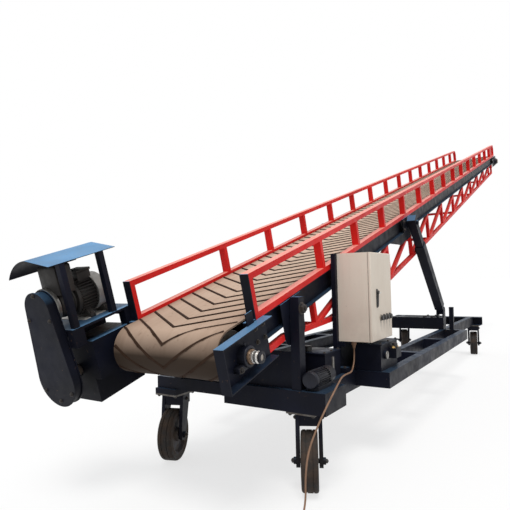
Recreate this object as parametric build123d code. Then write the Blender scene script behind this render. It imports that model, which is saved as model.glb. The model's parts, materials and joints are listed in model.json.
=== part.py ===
from build123d import *
import math
import os

# Portable belt conveyor for loading trucks: an inclined boom on a castor chassis.
# Millimetres and degrees. X runs along the conveyor from tail to head, Y to the far side, Z up.
# Boom pieces are drawn level, u along the boom and w square to it, then tilted by the incline.

# Boom
incline = 15.6
tail_height = 882.0
boom_width = 722.0
beam_height = 120.0
beam_flange = 35.0
beam_sheet = 5.0
beam_lap = 60.0
run_gap = 0.3

# Guard rails
rail_tube = 30.0
rail_width = 45.0
rail_height = 218.0
far_lead = 70.0
far_lap = 20.0
post_pitch = 600.0
first_post = 800.0
post_count = 14
rail_overhang = 520.0
rail_corner = 110.0
panel_sheet = 3.0
end_sheet = 6.0

# Belt, drums and bed
belt_width = 622.0
belt_thick = 8.0
rib_pitch = 110.0
rib_depth = 200.0
rib_width = 10.0
rib_height = 4.0
rib_sink = 2.0
rib_inset = 8.0
rib_steps = 4
bed_sheet = 4.0
drum_radius = 110.0
drum_length = 618.0
tail_reach = 160.0
head_reach = 60.0
shaft_radius = 25.0
shaft_stub = 55.0
stub_radius = 24.0
bed_inset = 60.0
tie_width = 40.0
tie_depth = 35.0
return_drop = 50.0
return_inset = 510.0
roller_radius = 25.0
roller_pitch = 1400.0
roller_shaft = 10.0

# Bearings
bearing_width = 42.0
bearing_radius = 48.0
bearing_base = 170.0
bearing_foot = 30.0

# Tail and head frames
tail_start = 343.0
tail_depth = 200.0
tail_flange = 50.0
tail_sheet = 6.0
lug_length = 55.0
lug_height = 57.0
head_depth = 180.0
head_tip = 130.0
head_back = 320.0

# Truss under the boom: station u and depth w of the lower chord's centre line
truss_tube = 30.0
truss_brace = 25.0
truss_line = [(-60.0, -176.0), (240.0, -176.0), (800.0, -290.0), (2000.0, -384.0), (3400.0, -371.0),
              (8700.0, -272.0)]
truss_first = 600.0
truss_pitch = 700.0

# Drive on the far side of the tail
drive_offset = 158.0
motor_radius = 92.0
motor_length = 165.0
motor_tail = 115.0
fan_length = 70.0
box_rise = 40.0
motor_lift = 198.0
head_radius = 70.0
flange_radius = 108.0
flange_thick = 22.0
platform_lift = 78.0
platform_sheet = 12.0
platform_width = 280.0
platform_tail = 45.0
guard_front = 480.0
guard_thick = 50.0
guard_top_radius = 82.0
guard_low_radius = 124.0
guard_lip = 5.0
guard_rim = 7.0
worm_offset = 55.0
worm_radius = 28.0
box_drop = 125.0
box_back = 30.0
box_width = 262.0
reducer_length = 190.0
reducer_width = 150.0
reducer_height = 210.0
cover_length = 400.0
cover_front = 474.0
cover_edge_lift = 403.0
cover_ridge_lift = 437.0
cover_fall_lift = 350.0
cover_ridge = 163.0
cover_fall = 323.0
cover_sheet = 3.0
cover_curl = 190.0
cover_post = 30.0
cover_stations = [-400.0, -165.0]

# Pivot and lift legs
pivot_u = 336.0
pivot_w = -60.0
pin_radius = 20.0
pin_gap = 0.06
hub_radius = 48.0
side_gap = 6.0
post_width = 50.0
post_depth = 60.0
post_cap = 58.0
leg_outer = 80.0
leg_inner = 68.0
leg_gap = 0.6
leg_side_gap = 10.0
leg_u = 2614.0
leg_w = -60.0
leg_foot_x = 3510.0
leg_foot_lift = 68.0
leg_sleeve = 1000.0
leg_lap = 480.0
leg_tip = 58.0
tongue_thick = 40.0
ear_thick = 14.0
ear_gap = 2.0
ear_radius = 42.0
bracket_length = 300.0
bracket_sheet = 6.0
boss_thick = 4.0
boss_round = 35.0

# Chassis
castor_height = 394.0
frame_depth = 110.0
frame_sheet = 7.0
frame_reach = 553.0
front_x = 300.0
front_width = 260.0
front_split = 50.0
extension_rise = 32.0
extension_depth = 68.0
extension_inset = 25.0
rear_x = 5151.0
rear_width = 120.0
rear_split = -76.0
long_outer = 455.0
long_flange = 55.0
deck_outer = 660.0
deck_start = 960.0
deck_end = 3500.0
deck_bars = 4
deck_bar = 60.0
deck_depth = 92.0
stake_width = 40.0
stake_height = 229.0
stake_reach = 522.0
leg_beam_width = 120.0
leg_beam_height = 120.0
wall_thick = 8.0
wall_height = 190.0

# Castors: name, X, Y, swivel angle of the wheel's trail
wheel_radius = 150.0
wheel_tread = 85.0
hub_width = 85.0
hub_bore = 12.0
tyre_depth = 38.0
web_width = 32.0
boss_radius = 36.0
castor_trail = 55.0
fork_gap = 5.0
fork_plate = 20.0
crown_height = 58.0
crown_width = 110.0
plate_length = 190.0
plate_width = 160.0
plate_thick = 10.0
king_radius = 16.0
race_gap = 4.0
castor_x_front = 400.0
castor_x_rear = rear_x + rear_width / 2
castor_inset = 104.0
castor_offset = 38.0
castor_y = frame_reach - castor_inset
castors = [("fr", castor_x_front, castor_offset - castor_y, 206.0),
           ("fl", castor_x_front, castor_offset + castor_y, 199.0),
           ("rr", castor_x_rear, -castor_y, 8.0), ("rl", castor_x_rear, castor_y, 20.0)]

# Control cabinet and hydraulic unit
cabinet_x = 862.0
cabinet_width = 375.0
cabinet_depth = 187.0
cabinet_height = 520.0
cabinet_foot = 687.0
cabinet_inner = 395.0
cabinet_wall = 2.0
door_thick = 15.0
door_gap = 2.0
knuckle_radius = 6.0
knuckle_height = 40.0
cabinet_post = 26.0
cabinet_lead = 30.0
shelf_reach = 35.0
shelf_thick = 30.0
handle_height = 110.0
button_radius = 14.0
button_count = 4
button_pitch = 56.0
pack_inset = 8.0
pack_length = 320.0
pack_width = 160.0
pack_height = 160.0
pack_gap = 20.0
tank_gap = 22.0
tank_length = 210.0
tank_width = 200.0
tank_height = 140.0
tank_lap = 20.0
pump_radius = 45.0
pump_length = 230.0
pump_gap = 4.0
gland_radius = 15.0
gland_length = 45.0

half = boom_width / 2
web_inner = half - beam_flange
rail_end = first_post + (post_count - 1) * post_pitch + rail_overhang
head_axis = rail_end + head_reach
belt_inner = bed_sheet + run_gap
belt_top = belt_inner + belt_thick
axis_w = belt_inner - drum_radius
frame_top = castor_height + frame_depth
extension_top = castor_height + extension_rise + extension_depth
nodes = {}


def block(x0, x1, y0, y1, z0, z1):
    return Pos((x0 + x1) / 2, (y0 + y1) / 2, (z0 + z1) / 2) * Box(x1 - x0, y1 - y0, z1 - z0)


def flank(sign, x0, x1, inner, outer, z0, z1):
    y0, y1 = sorted((sign * inner, sign * outer))
    return block(x0, x1, y0, y1, z0, z1)


def rod_y(x, y0, y1, z, radius):
    return Pos(x, (y0 + y1) / 2, z) * Rot(90, 0, 0) * Cylinder(radius, abs(y1 - y0))


def rod_x(x0, x1, y, z, radius):
    return Pos((x0 + x1) / 2, y, z) * Rot(0, 90, 0) * Cylinder(radius, x1 - x0)


def rod_z(x, y, z0, z1, radius):
    return Pos(x, y, (z0 + z1) / 2) * Cylinder(radius, z1 - z0)


def slab(face, y0, y1):
    # A face drawn in x and z, made solid from y0 to y1
    return Pos(0, y0, 0) * extrude(Plane.XZ * face, y1 - y0, dir=(0, 1, 0))


def along_x(face, x0, x1):
    # A face drawn in y and z, made solid from x0 to x1
    return Pos(x0, 0, 0) * extrude(Plane.YZ * face, x1 - x0, dir=(1, 0, 0))


def tilt(shape):
    return Pos(0, 0, tail_height) * Rot(0, -incline, 0) * shape


def world(u, w):
    angle = math.radians(incline)
    x = u * math.cos(angle) - w * math.sin(angle)
    return x, tail_height + u * math.sin(angle) + w * math.cos(angle)


# Side beams: folded channels that open outward. The far rail starts nearer to the tail
def rail_start(sign):
    return -far_lead if sign > 0 else 0.0


def beam_start(sign):
    return rail_start(sign) - end_sheet - far_lap if sign > 0 else -beam_lap


def side_beam(sign):
    u0, u1 = beam_start(sign), rail_start(sign) - end_sheet
    outer = flank(sign, u0, rail_end, web_inner, half, -beam_height, 0)
    hollow = flank(sign, u0, rail_end, web_inner + beam_sheet, half, -beam_height + beam_sheet,
                   -beam_sheet)
    end_plate = flank(sign, u1, u1 + end_sheet, half - rail_width, half, 0, rail_height)
    foot = flank(sign, u0, u1, web_inner, half, 0, end_sheet)
    return outer - hollow + end_plate + foot


# Guard rail: one flat frame of square tube with its top corner rounded at the head
def guard_rail(sign):
    u0 = rail_start(sign)
    mid = Pos((u0 + rail_end) / 2, rail_height / 2) * Rectangle(rail_end - u0, rail_height)
    frame = fillet(mid.vertices().sort_by(Axis.X)[-2:].sort_by(Axis.Y)[-1], rail_corner)
    posts = [u0 + rail_tube / 2] + [first_post + k * post_pitch for k in range(post_count)]
    posts += [rail_end - rail_tube / 2]
    low, high = rail_tube, rail_height - rail_tube
    for k, (left, right) in enumerate(zip(posts[:-1], posts[1:])):
        x0, x1 = left + rail_tube / 2, right - rail_tube / 2
        window = Pos((x0 + x1) / 2, (low + high) / 2) * Rectangle(x1 - x0, high - low)
        if k == post_count:
            corner = window.vertices().sort_by(Axis.X)[-2:].sort_by(Axis.Y)[-1]
            window = fillet(corner, rail_corner - rail_tube)
        frame = frame - window
    y0, y1 = sorted((sign * (half - rail_width), sign * half))
    rail = slab(frame, y0, y1)
    if sign < 0:
        mid_y = sign * (half - rail_width / 2)
        panel = block(posts[-2], posts[-1] - rail_corner, mid_y - panel_sheet / 2,
                      mid_y + panel_sheet / 2, low, high)
        rail = rail + panel
    return rail


# Belt: one closed loop round both drums, its return strand lifted by the return rollers
def tangent_point(cu, cw, radius, qu, qw, side):
    reach = math.hypot(qu - cu, qw - cw)
    angle = math.atan2(qw - cw, qu - cu) + side * math.acos(radius / reach)
    return cu + radius * math.cos(angle), cw + radius * math.sin(angle)


return_start = return_inset - tail_reach
return_end = head_axis - return_inset


def belt_loop():
    t1 = tangent_point(-tail_reach, axis_w, drum_radius, return_start, -return_drop, -1)
    t2 = tangent_point(head_axis, axis_w, drum_radius, return_end, -return_drop, 1)
    middle = Polygon((-tail_reach, belt_inner), (-tail_reach, axis_w), t1, (return_start, -return_drop),
                     (return_end, -return_drop), t2, (head_axis, axis_w), (head_axis, belt_inner),
                     align=None)
    ends = Pos(-tail_reach, axis_w) * Circle(drum_radius) + Pos(head_axis, axis_w) * Circle(drum_radius)
    inside = middle + ends
    outside = offset(inside, belt_thick, kind=Kind.INTERSECTION)
    return slab(outside - inside, -belt_width / 2, belt_width / 2)


def on_belt(s, lift):
    # Place and turn of a point at length s along the outer face, 0 above the tail axis
    outer = drum_radius + belt_thick + lift
    run = head_axis + tail_reach
    if s < 0:
        turn = math.pi / 2 - s / (drum_radius + belt_thick)
        return -tail_reach + outer * math.cos(turn), axis_w + outer * math.sin(turn), turn
    if s > run:
        turn = math.pi / 2 - (s - run) / (drum_radius + belt_thick)
        return head_axis + outer * math.cos(turn), axis_w + outer * math.sin(turn), turn
    return s - tail_reach, belt_top + lift, math.pi / 2


def flat_rib(u, lift, face, point):
    # One chevron on a flat strand: its point faces the tail on top and the head below
    edge = belt_width / 2 - rib_inset
    thick = rib_width * math.hypot(edge, rib_depth) / edge
    reach = point * rib_depth
    chevron = Polygon((u, 0), (u + reach, edge), (u + reach + thick, edge), (u + thick, 0),
                      (u + reach + thick, -edge),
                      (u + reach, -edge), align=None)
    low, high = sorted((lift - face * rib_sink, lift + face * rib_height))
    return Pos(0, 0, low) * extrude(chevron, high - low, dir=(0, 0, 1))


def wrapped_rib(s0):
    # One chevron that bends round a drum, in short straight pieces
    pieces = []
    edge = belt_width / 2 - rib_inset
    wrap = (drum_radius + belt_thick) * math.radians(170)
    low, high = -wrap, head_axis + tail_reach + wrap
    for side in (-1, 1):
        for k in range(rib_steps):
            ends = [(s0 + rib_depth * f, side * edge * f) for f in (k / rib_steps, (k + 1) / rib_steps)]
            if ends[0][0] < low or ends[1][0] > high:
                continue
            (u0, w0, turn), (u1, w1, other) = on_belt(ends[0][0], 0), on_belt(ends[1][0], 0)
            a, b = Vector(u0, ends[0][1], w0), Vector(u1, ends[1][1], w1)
            middle = (turn + other) / 2
            normal = Vector(math.cos(middle), 0, math.sin(middle))
            along = (b - a).normalized()
            across = normal.cross(along).normalized()
            frame = Plane(origin=(a + b) / 2, x_dir=along, z_dir=along.cross(across))
            pieces.append(frame * Box((b - a).length + rib_width / 2, rib_width, 2 * rib_height))
    return pieces


def ribbed_belt():
    ribs = []
    count = int((head_axis + tail_reach) // rib_pitch) + 1
    for k in range(-4, count + 4):
        s0 = k * rib_pitch
        if s0 >= 0 and s0 + rib_depth + rib_width * 2 <= head_axis + tail_reach:
            ribs.append(flat_rib(s0 - tail_reach, belt_top, 1, 1))
        else:
            ribs.extend(wrapped_rib(s0))
    u = return_start + 2 * rib_depth
    while u < return_end - rib_depth:
        ribs.append(flat_rib(u, -return_drop - belt_thick, -1, -1))
        u += rib_pitch
    return belt_loop().fuse(*ribs)


def drum(u, far_reach):
    shell = rod_y(u, -drum_length / 2, drum_length / 2, axis_w, drum_radius - run_gap)
    return shell + rod_y(u, -bearing_reach, far_reach, axis_w, shaft_radius)


def bed():
    plate = block(bed_inset, rail_end - bed_inset, -half + rail_width + 1, half - rail_width - 1,
                  0, bed_sheet)
    for k in range(post_count + 1):
        u = (first_post + (k - 1) * post_pitch) if k else bed_inset + tie_width
        plate = plate + block(u - tie_width / 2, u + tie_width / 2, -web_inner, web_inner, -tie_depth, 0)
    return plate


def return_rollers():
    lift = -return_drop - belt_thick - rib_height - run_gap - roller_radius
    count = int((return_end - return_start) // roller_pitch)
    step = (return_end - return_start - 2 * roller_radius) / count
    rollers = []
    for k in range(count + 1):
        u = return_start + roller_radius + k * step
        core = rod_y(u, -drum_length / 2, drum_length / 2, lift, roller_radius)
        rollers.append(core + rod_y(u, -web_inner, web_inner, lift, roller_shaft))
    return Compound(children=rollers)


# Tail frame: a deep channel outside each beam, closed at its end, with a drum bearing
def tail_frame(sign):
    outer = flank(sign, -tail_start, beam_lap, half, half + tail_flange, -tail_depth, 0)
    hollow = flank(sign, -tail_start + tail_sheet, beam_lap, half + tail_sheet, half + tail_flange,
                   -tail_depth + tail_sheet, -tail_sheet)
    hole = rod_y(-tail_reach, sign * half, sign * (half + tail_sheet), axis_w, shaft_radius + side_gap)
    frame = outer - hollow - hole
    if sign < 0:
        frame = frame + flank(sign, -lug_length - rail_tube, -rail_tube, half, half + tail_sheet, 0,
                              lug_height)
    return frame


def head_frame(sign):
    plate = flank(sign, head_axis - head_back, head_axis + head_tip, half, half + tail_sheet, -head_depth,
                  -beam_sheet)
    hole = rod_y(head_axis, sign * half, sign * (half + tail_sheet), axis_w, shaft_radius + side_gap)
    return plate - hole


def bearing(sign, u):
    y0, y1 = sign * (half + tail_sheet), sign * (half + tail_sheet + bearing_width)
    body = rod_y(u, y0, y1, axis_w, bearing_radius)
    foot = flank(sign, u - bearing_base / 2, u + bearing_base / 2, half + tail_sheet,
                 half + tail_sheet + bearing_foot, axis_w - bearing_radius,
                 axis_w - bearing_radius + bearing_foot)
    return body + foot - rod_y(u, y0, y1, axis_w, shaft_radius + run_gap / 2)


# Truss: lower chord, posts and rising diagonals in the plane of each rail
def chord_w(u):
    for (u0, w0), (u1, w1) in zip(truss_line[:-1], truss_line[1:]):
        if u0 <= u <= u1:
            return w0 + (w1 - w0) * (u - u0) / (u1 - u0)
    return truss_line[-1][1]


truss_end = truss_line[-1][0]
truss_stations = [truss_line[0][0] + truss_tube / 2]
truss_bays = int((truss_end - truss_first) // truss_pitch)
truss_stations += [truss_first + k * truss_pitch for k in range(truss_bays + 1)]
truss_stations += [truss_end - truss_tube / 2]


def strut(u0, w0, u1, w1, depth):
    turn = math.degrees(math.atan2(w1 - w0, u1 - u0))
    length = math.hypot(u1 - u0, w1 - w0)
    return Pos((u0 + u1) / 2, (w0 + w1) / 2) * Rot(0, 0, turn) * Rectangle(length, depth)


def truss(sign):
    edge = truss_tube / 2
    upper = [(u, w + edge) for u, w in truss_line]
    lower = [(u, w - edge) for u, w in truss_line]
    frame = Polygon(*lower, *reversed(upper), align=None)
    for u in truss_stations:
        frame = frame + strut(u, chord_w(u), u, -beam_height, truss_tube)
    for u0, u1 in zip(truss_stations[1:-2], truss_stations[2:-1]):
        frame = frame + strut(u0, chord_w(u0), u1, -beam_height - truss_brace / 2, truss_brace)
    y0, y1 = sorted((sign * (half - truss_tube), sign * half))
    return slab(frame, y0, y1)


def truss_ties():
    ties = []
    for u in truss_stations[1:-1:2]:
        w = chord_w(u)
        reach = half - truss_tube
        ties.append(block(u - truss_brace / 2, u + truss_brace / 2, -reach, reach, w - truss_brace / 2,
                          w + truss_brace / 2))
    return Compound(children=ties)


# Drive: a motor along the boom turns a chain, and a worm reducer turns the tail drum
drive_y = half + tail_flange + 110.0
motor_u1 = -motor_tail
motor_u0 = motor_u1 - motor_length
guard_back = -guard_front + guard_thick
ring_back = guard_back + flange_thick


def motor_platform():
    y0 = half
    y1 = y0 + tail_flange + platform_width
    w1 = platform_lift + platform_sheet
    plate = block(guard_back, -platform_tail, y0, y1, platform_lift, w1)
    for u in (guard_back + cover_post, -platform_tail - cover_post):
        plate = plate + block(u - cover_post, u + cover_post, y0, y0 + tail_flange, 0, platform_lift)
        plate = plate + block(u - cover_post / 2, u + cover_post / 2, y0 + tail_flange, y1,
                              platform_lift - 30, platform_lift)
    back = -box_back
    front = -tail_start
    floor_w = -tail_depth - box_drop
    side = y0 + box_width
    near = y0 + tail_flange - tail_sheet
    plate = plate + block(front, back, near, side, floor_w, floor_w + tail_sheet)
    plate = plate + block(front, back, near, near + tail_sheet, floor_w, -tail_depth)
    shield = block(front, front + tail_sheet, y0 + tail_flange, side, floor_w, platform_lift)
    hole = rod_x(front, front + tail_sheet, drive_y, axis_w - worm_offset, worm_radius + side_gap)
    wall = block(front, back, side - tail_sheet, side, floor_w, platform_lift)
    return plate + shield - hole + wall


def drive_motor():
    body = rod_x(motor_u0, motor_u1, drive_y, motor_lift, motor_radius)
    gears = rod_x(ring_back, motor_u0, drive_y, motor_lift, head_radius)
    ring = rod_x(guard_back, ring_back, drive_y, motor_lift, flange_radius)
    base = platform_lift + platform_sheet
    foot = block(motor_u0 + 20, motor_u1 - 20, drive_y - motor_radius, drive_y + motor_radius, base,
                 base + 16)
    rib = block(motor_u0 + 20, motor_u1 - 20, drive_y - motor_radius * 0.6, drive_y + motor_radius * 0.6,
                base, motor_lift)
    fan = rod_x(motor_u1 - fan_length, motor_u1, drive_y, motor_lift, motor_radius + 5)
    box = block(motor_u0 + 30, motor_u0 + 110, drive_y - 50, drive_y + 50, motor_lift,
                motor_lift + motor_radius + box_rise)
    return body + gears + ring + foot + rib + fan + box


def chain_guard():
    low = axis_w - worm_offset
    big = Pos(drive_y, low) * Circle(guard_low_radius)
    small = Pos(drive_y, motor_lift) * Circle(guard_top_radius)
    lean = math.asin((guard_low_radius - guard_top_radius) / (motor_lift - low))
    c, s = math.cos(lean), math.sin(lean)
    sides = Polygon((drive_y - guard_low_radius * c, low + guard_low_radius * s),
                    (drive_y + guard_low_radius * c, low + guard_low_radius * s),
                    (drive_y + guard_top_radius * c, motor_lift + guard_top_radius * s),
                    (drive_y - guard_top_radius * c, motor_lift + guard_top_radius * s), align=None)
    outline = big + small + sides
    shell = along_x(outline, -guard_front + guard_lip, guard_back - guard_lip)
    rim = offset(outline, guard_rim)
    front_rim = along_x(rim, -guard_front, -guard_front + guard_lip)
    return shell + front_rim + along_x(rim, guard_back - guard_lip, guard_back)


def worm_reducer():
    low = axis_w - worm_offset
    y0 = half + tail_flange + 6
    u0, u1 = -tail_reach - reducer_length / 2, -tail_reach + reducer_length / 2
    case = block(u0, u1, y0, y0 + reducer_width, low - 60, low - 60 + reducer_height)
    cover = rod_y(-tail_reach, y0 + reducer_width, y0 + reducer_width + 16, axis_w, 68)
    worm = rod_x(guard_back, u0, drive_y, low, worm_radius)
    base = flank(1, u0, u1, half + tail_flange, half + tail_flange + 6, -tail_depth, -tail_depth + 90)
    bore = rod_y(-tail_reach, half + tail_flange, y0 + reducer_width + 16, axis_w,
                 shaft_radius + run_gap / 2)
    return case + cover + worm + base - bore


def rain_cover():
    start, ridge, fall = half, half + cover_ridge, half + cover_fall
    top = Line((start, cover_edge_lift), (ridge, cover_ridge_lift))
    curl = RadiusArc((ridge, cover_ridge_lift), (fall, cover_fall_lift), cover_curl)
    sheet = make_face(Plane.XY * trace(top + curl, cover_sheet).face().wire())
    return along_x(sheet, -cover_front, -cover_front + cover_length)


def cover_posts():
    posts = []
    base = platform_lift + platform_sheet
    slope = (cover_ridge_lift - cover_edge_lift) / cover_ridge
    top = cover_edge_lift - cover_sheet / 2 + slope * 4 - run_gap * 2
    for u in cover_stations:
        posts.append(block(u - cover_post / 2, u + cover_post / 2, half + 4, half + 4 + cover_post, base,
                           top))
    return Compound(children=posts)


# Pivot hubs and leg brackets in the open side of the beams
def pivot_hubs():
    hubs = []
    for sign in (-1, 1):
        hub = rod_y(pivot_u, sign * (web_inner + beam_sheet), sign * half, pivot_w, hub_radius)
        hubs.append(hub - rod_y(pivot_u, sign * (web_inner + beam_sheet), sign * half, pivot_w,
                                pin_radius + pin_gap))
    return Compound(children=hubs)


def leg_brackets():
    plates = []
    for sign in (-1, 1):
        plate = flank(sign, leg_u - bracket_length / 2, leg_u + bracket_length / 2, half,
                      half + bracket_sheet,
                      -beam_height, 0)
        boss = rod_y(leg_u, sign * (half + bracket_sheet), sign * (half + bracket_sheet + boss_thick),
                     leg_w, boss_round)
        plates.append(plate + boss)
    return Compound(children=plates)


# Chassis
def front_sleeve():
    # A cross wall between the pivot posts stands on the sleeve and reaches over the extension
    sleeve = block(front_x, front_x + front_width, -frame_reach, front_split, castor_height, frame_top)
    x0, x1 = pivot_x - wall_thick / 2, pivot_x + wall_thick / 2
    wall = block(x0, x1, -post_inner, post_inner, frame_top, frame_top + wall_height)
    return sleeve + wall + block(x0, x1, front_split, post_inner, extension_top, frame_top)


def front_extension():
    x0, x1 = front_x + extension_inset, front_x + front_width - extension_inset
    z0 = extension_top - extension_depth
    y = castor_offset + castor_y
    tube = block(x0, x1, front_split, y + plate_width / 2, z0, extension_top)
    pad = block(castor_x_front - plate_length / 2, castor_x_front + plate_length / 2,
                y - plate_width / 2, y + plate_width / 2, castor_height, z0)
    return tube + pad


def rear_sleeve():
    return block(rear_x, rear_x + rear_width, rear_split, frame_reach, castor_height, frame_top)


def rear_extension():
    z1 = frame_top - frame_sheet
    outer = block(rear_x, rear_x + rear_width, -frame_reach, rear_split, castor_height, z1)
    hollow = block(rear_x, rear_x + rear_width - frame_sheet, -frame_reach, rear_split,
                   castor_height + frame_sheet,
                   z1 - frame_sheet)
    return outer - hollow


def long_beam(sign):
    x0, x1 = front_x + front_width, rear_x
    inner = long_outer - long_flange
    outer = flank(sign, x0, x1, inner, long_outer, castor_height, frame_top)
    return outer - flank(sign, x0, x1, inner, long_outer - frame_sheet, castor_height + frame_sheet,
                         frame_top - frame_sheet)


def side_deck(sign):
    inner = deck_outer - long_flange
    foot = frame_top - deck_depth
    rail = flank(sign, deck_start, deck_end, inner, deck_outer, foot, frame_top)
    rail = rail - flank(sign, deck_start, deck_end, inner, deck_outer - frame_sheet, foot + frame_sheet,
                        frame_top - frame_sheet)
    step = (deck_end - deck_start - deck_bar) / (deck_bars - 1)
    for k in range(deck_bars):
        x = deck_start + k * step
        rail = rail + flank(sign, x, x + deck_bar, long_outer, deck_outer - frame_sheet, foot, frame_top)
    if sign < 0:
        x, grip = deck_end - deck_bar / 2, stake_width / 2
        rail = rail + flank(sign, x - grip, x + grip, stake_reach - grip, stake_reach + grip, frame_top,
                            frame_top + stake_height)
    return rail


pivot_x, pivot_z = world(pivot_u, pivot_w)
post_inner = half + side_gap
post_outer = post_inner + post_width


def pivot_post(sign):
    foot = frame_top if sign < 0 else extension_top
    post = flank(sign, pivot_x - post_depth / 2, pivot_x + post_depth / 2, post_inner, post_outer,
                 foot, pivot_z + post_cap)
    pin = rod_y(pivot_x, sign * (web_inner + beam_sheet + 2), sign * post_outer, pivot_z, pin_radius)
    return post + pin


leg_mid = half + leg_side_gap + leg_outer / 2
leg_beam_top = frame_top + leg_beam_height
foot_z = leg_beam_top + leg_foot_lift
top_x, top_z = world(leg_u, leg_w)
leg_angle = math.degrees(math.atan2(top_z - foot_z, top_x - leg_foot_x))
leg_length = math.hypot(top_z - foot_z, top_x - leg_foot_x)
ear_inner = tongue_thick / 2 + ear_gap


def leg_beam():
    reach = leg_mid + ear_inner + ear_thick
    beam = block(leg_foot_x - leg_beam_width / 2, leg_foot_x + leg_beam_width / 2, -reach, reach,
                 frame_top, leg_beam_top)
    for sign in (-1, 1):
        for edge in (-1, 1):
            y = sign * leg_mid + edge * (ear_inner + ear_thick / 2)
            ear = block(leg_foot_x - ear_radius, leg_foot_x + ear_radius, y - ear_thick / 2,
                        y + ear_thick / 2,
                        leg_beam_top, foot_z)
            beam = beam + ear + rod_y(leg_foot_x, y - ear_thick / 2, y + ear_thick / 2, foot_z,
                                      ear_radius)
        pin_reach = ear_inner + ear_thick
        beam = beam + rod_y(leg_foot_x, sign * leg_mid - pin_reach, sign * leg_mid + pin_reach, foot_z,
                            pin_radius)
    return beam


def place_leg(shape, sign):
    # A leg is drawn along +X from its foot pin
    return Pos(leg_foot_x, sign * leg_mid, foot_z) * Rot(0, -leg_angle, 0) * shape


leg_start = ear_radius + 22.0


def leg_outer_tube(sign):
    cavity = leg_inner + 2 * leg_gap
    tube = block(leg_start, leg_sleeve, -leg_outer / 2, leg_outer / 2, -leg_outer / 2, leg_outer / 2)
    tube = tube - block(leg_start + 20, leg_sleeve, -cavity / 2, cavity / 2, -cavity / 2, cavity / 2)
    tongue = block(0, leg_start, -tongue_thick / 2, tongue_thick / 2, -ear_radius + 4, ear_radius - 4)
    eye = rod_y(0, -tongue_thick / 2, tongue_thick / 2, 0, ear_radius - 4)
    bore = rod_y(0, -tongue_thick / 2, tongue_thick / 2, 0, pin_radius + pin_gap)
    return place_leg(tube + tongue + eye - bore, sign)


def leg_inner_tube(sign):
    x0, x1 = leg_sleeve - leg_lap, leg_length + leg_tip
    tube = block(x0, x1, -leg_inner / 2, leg_inner / 2, -leg_inner / 2, leg_inner / 2)
    pin = rod_y(leg_length, sign * leg_inner / 2, sign * (leg_inner / 2 + 14), 0, pin_radius)
    return place_leg(tube + pin, sign)


# Castors
def wheel_solid(x, y, turn):
    half_tread = wheel_tread / 2
    rim = wheel_radius - tyre_depth
    web = web_width / 2
    half_hub = hub_width / 2
    profile = Polygon((hub_bore, -half_hub), (boss_radius, -half_hub), (boss_radius, -web),
                      (rim - 14, -web),
                      (rim - 8, -half_tread + 6), (rim, -half_tread), (wheel_radius - 10, -half_tread),
                      (wheel_radius, -half_tread + 12), (wheel_radius, half_tread - 12),
                      (wheel_radius - 10, half_tread), (rim, half_tread), (rim - 8, half_tread - 6),
                      (rim - 14, web), (boss_radius, web), (boss_radius, half_hub), (hub_bore, half_hub),
                      align=None)
    ring = revolve(Plane.XZ * profile, Axis.Z)
    wheel = Pos(castor_trail, 0, wheel_radius) * Rot(90, 0, 0) * ring
    return Pos(x, y, 0) * Rot(0, 0, turn) * wheel


def fork_solid(x, y, turn):
    top = castor_height - plate_thick - race_gap
    inner = hub_width / 2 + fork_gap
    outer = inner + fork_plate
    crown = block(-crown_width / 2, crown_width / 2, -outer, outer, top - crown_height, top)
    side = Polygon((-crown_width / 2, top), (crown_width / 2, top), (castor_trail + 34, wheel_radius),
                   (castor_trail - 34, wheel_radius), align=None)
    side = side + Pos(castor_trail, wheel_radius) * Circle(34)
    fork = crown
    for edge in (-1, 1):
        y0, y1 = sorted((edge * inner, edge * outer))
        fork = fork + slab(side, y0, y1)
        fork = fork + rod_y(castor_trail, edge * outer, edge * (outer + 12), wheel_radius, 18)
    fork = fork + rod_y(castor_trail, -outer, outer, wheel_radius, hub_bore - pin_gap)
    fork = fork - rod_z(0, 0, top - crown_height, top, king_radius + pin_gap)
    return Pos(x, y, 0) * Rot(0, 0, turn) * fork


def castor_plates():
    plates = []
    top = castor_height - plate_thick - race_gap
    for name, x, y, turn in castors:
        plate = block(x - plate_length / 2, x + plate_length / 2, y - plate_width / 2,
                      y + plate_width / 2,
                      castor_height - plate_thick, castor_height)
        plates.append(plate + rod_z(x, y, top - crown_height, castor_height - plate_thick, king_radius))
    return Compound(children=plates)


# Control cabinet on two posts, open to the near side, with a hinged door
cabinet_back = -cabinet_inner
cabinet_front = cabinet_back - cabinet_depth
cabinet_end = cabinet_x + cabinet_width
cabinet_top = cabinet_foot + cabinet_height
hinge_x = cabinet_end + knuckle_radius + 2
hinge_y = cabinet_front - door_gap - 2
knuckle_levels = [cabinet_foot + cabinet_height * 0.18, cabinet_foot + cabinet_height * 0.78]


def cabinet_posts():
    y1 = cabinet_back + cabinet_post
    post_foot = -long_outer + frame_sheet
    frame = block(cabinet_x, cabinet_end, cabinet_back - shelf_reach, y1, cabinet_foot - shelf_thick,
                  cabinet_foot)
    for x0, x1 in ((cabinet_x - cabinet_lead, cabinet_x + cabinet_post),
                   (cabinet_end - cabinet_post, cabinet_end)):
        frame = frame + block(x0, x1, cabinet_back, y1, frame_top, cabinet_top)
        frame = frame + block(x0, x1, post_foot, y1, frame_top, frame_top + shelf_thick)
    return frame


def cabinet():
    wall = cabinet_wall
    outer = block(cabinet_x, cabinet_end, cabinet_front, cabinet_back, cabinet_foot, cabinet_top)
    room = block(cabinet_x + wall, cabinet_end - wall, cabinet_front, cabinet_back - wall,
                 cabinet_foot + wall, cabinet_top - wall)
    box = outer - room
    for z in knuckle_levels:
        leaf = block(cabinet_end, hinge_x, hinge_y, hinge_y + 24, z, z + knuckle_height)
        box = box + leaf + rod_z(hinge_x, hinge_y, z, z + knuckle_height, knuckle_radius)
    return box


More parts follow.
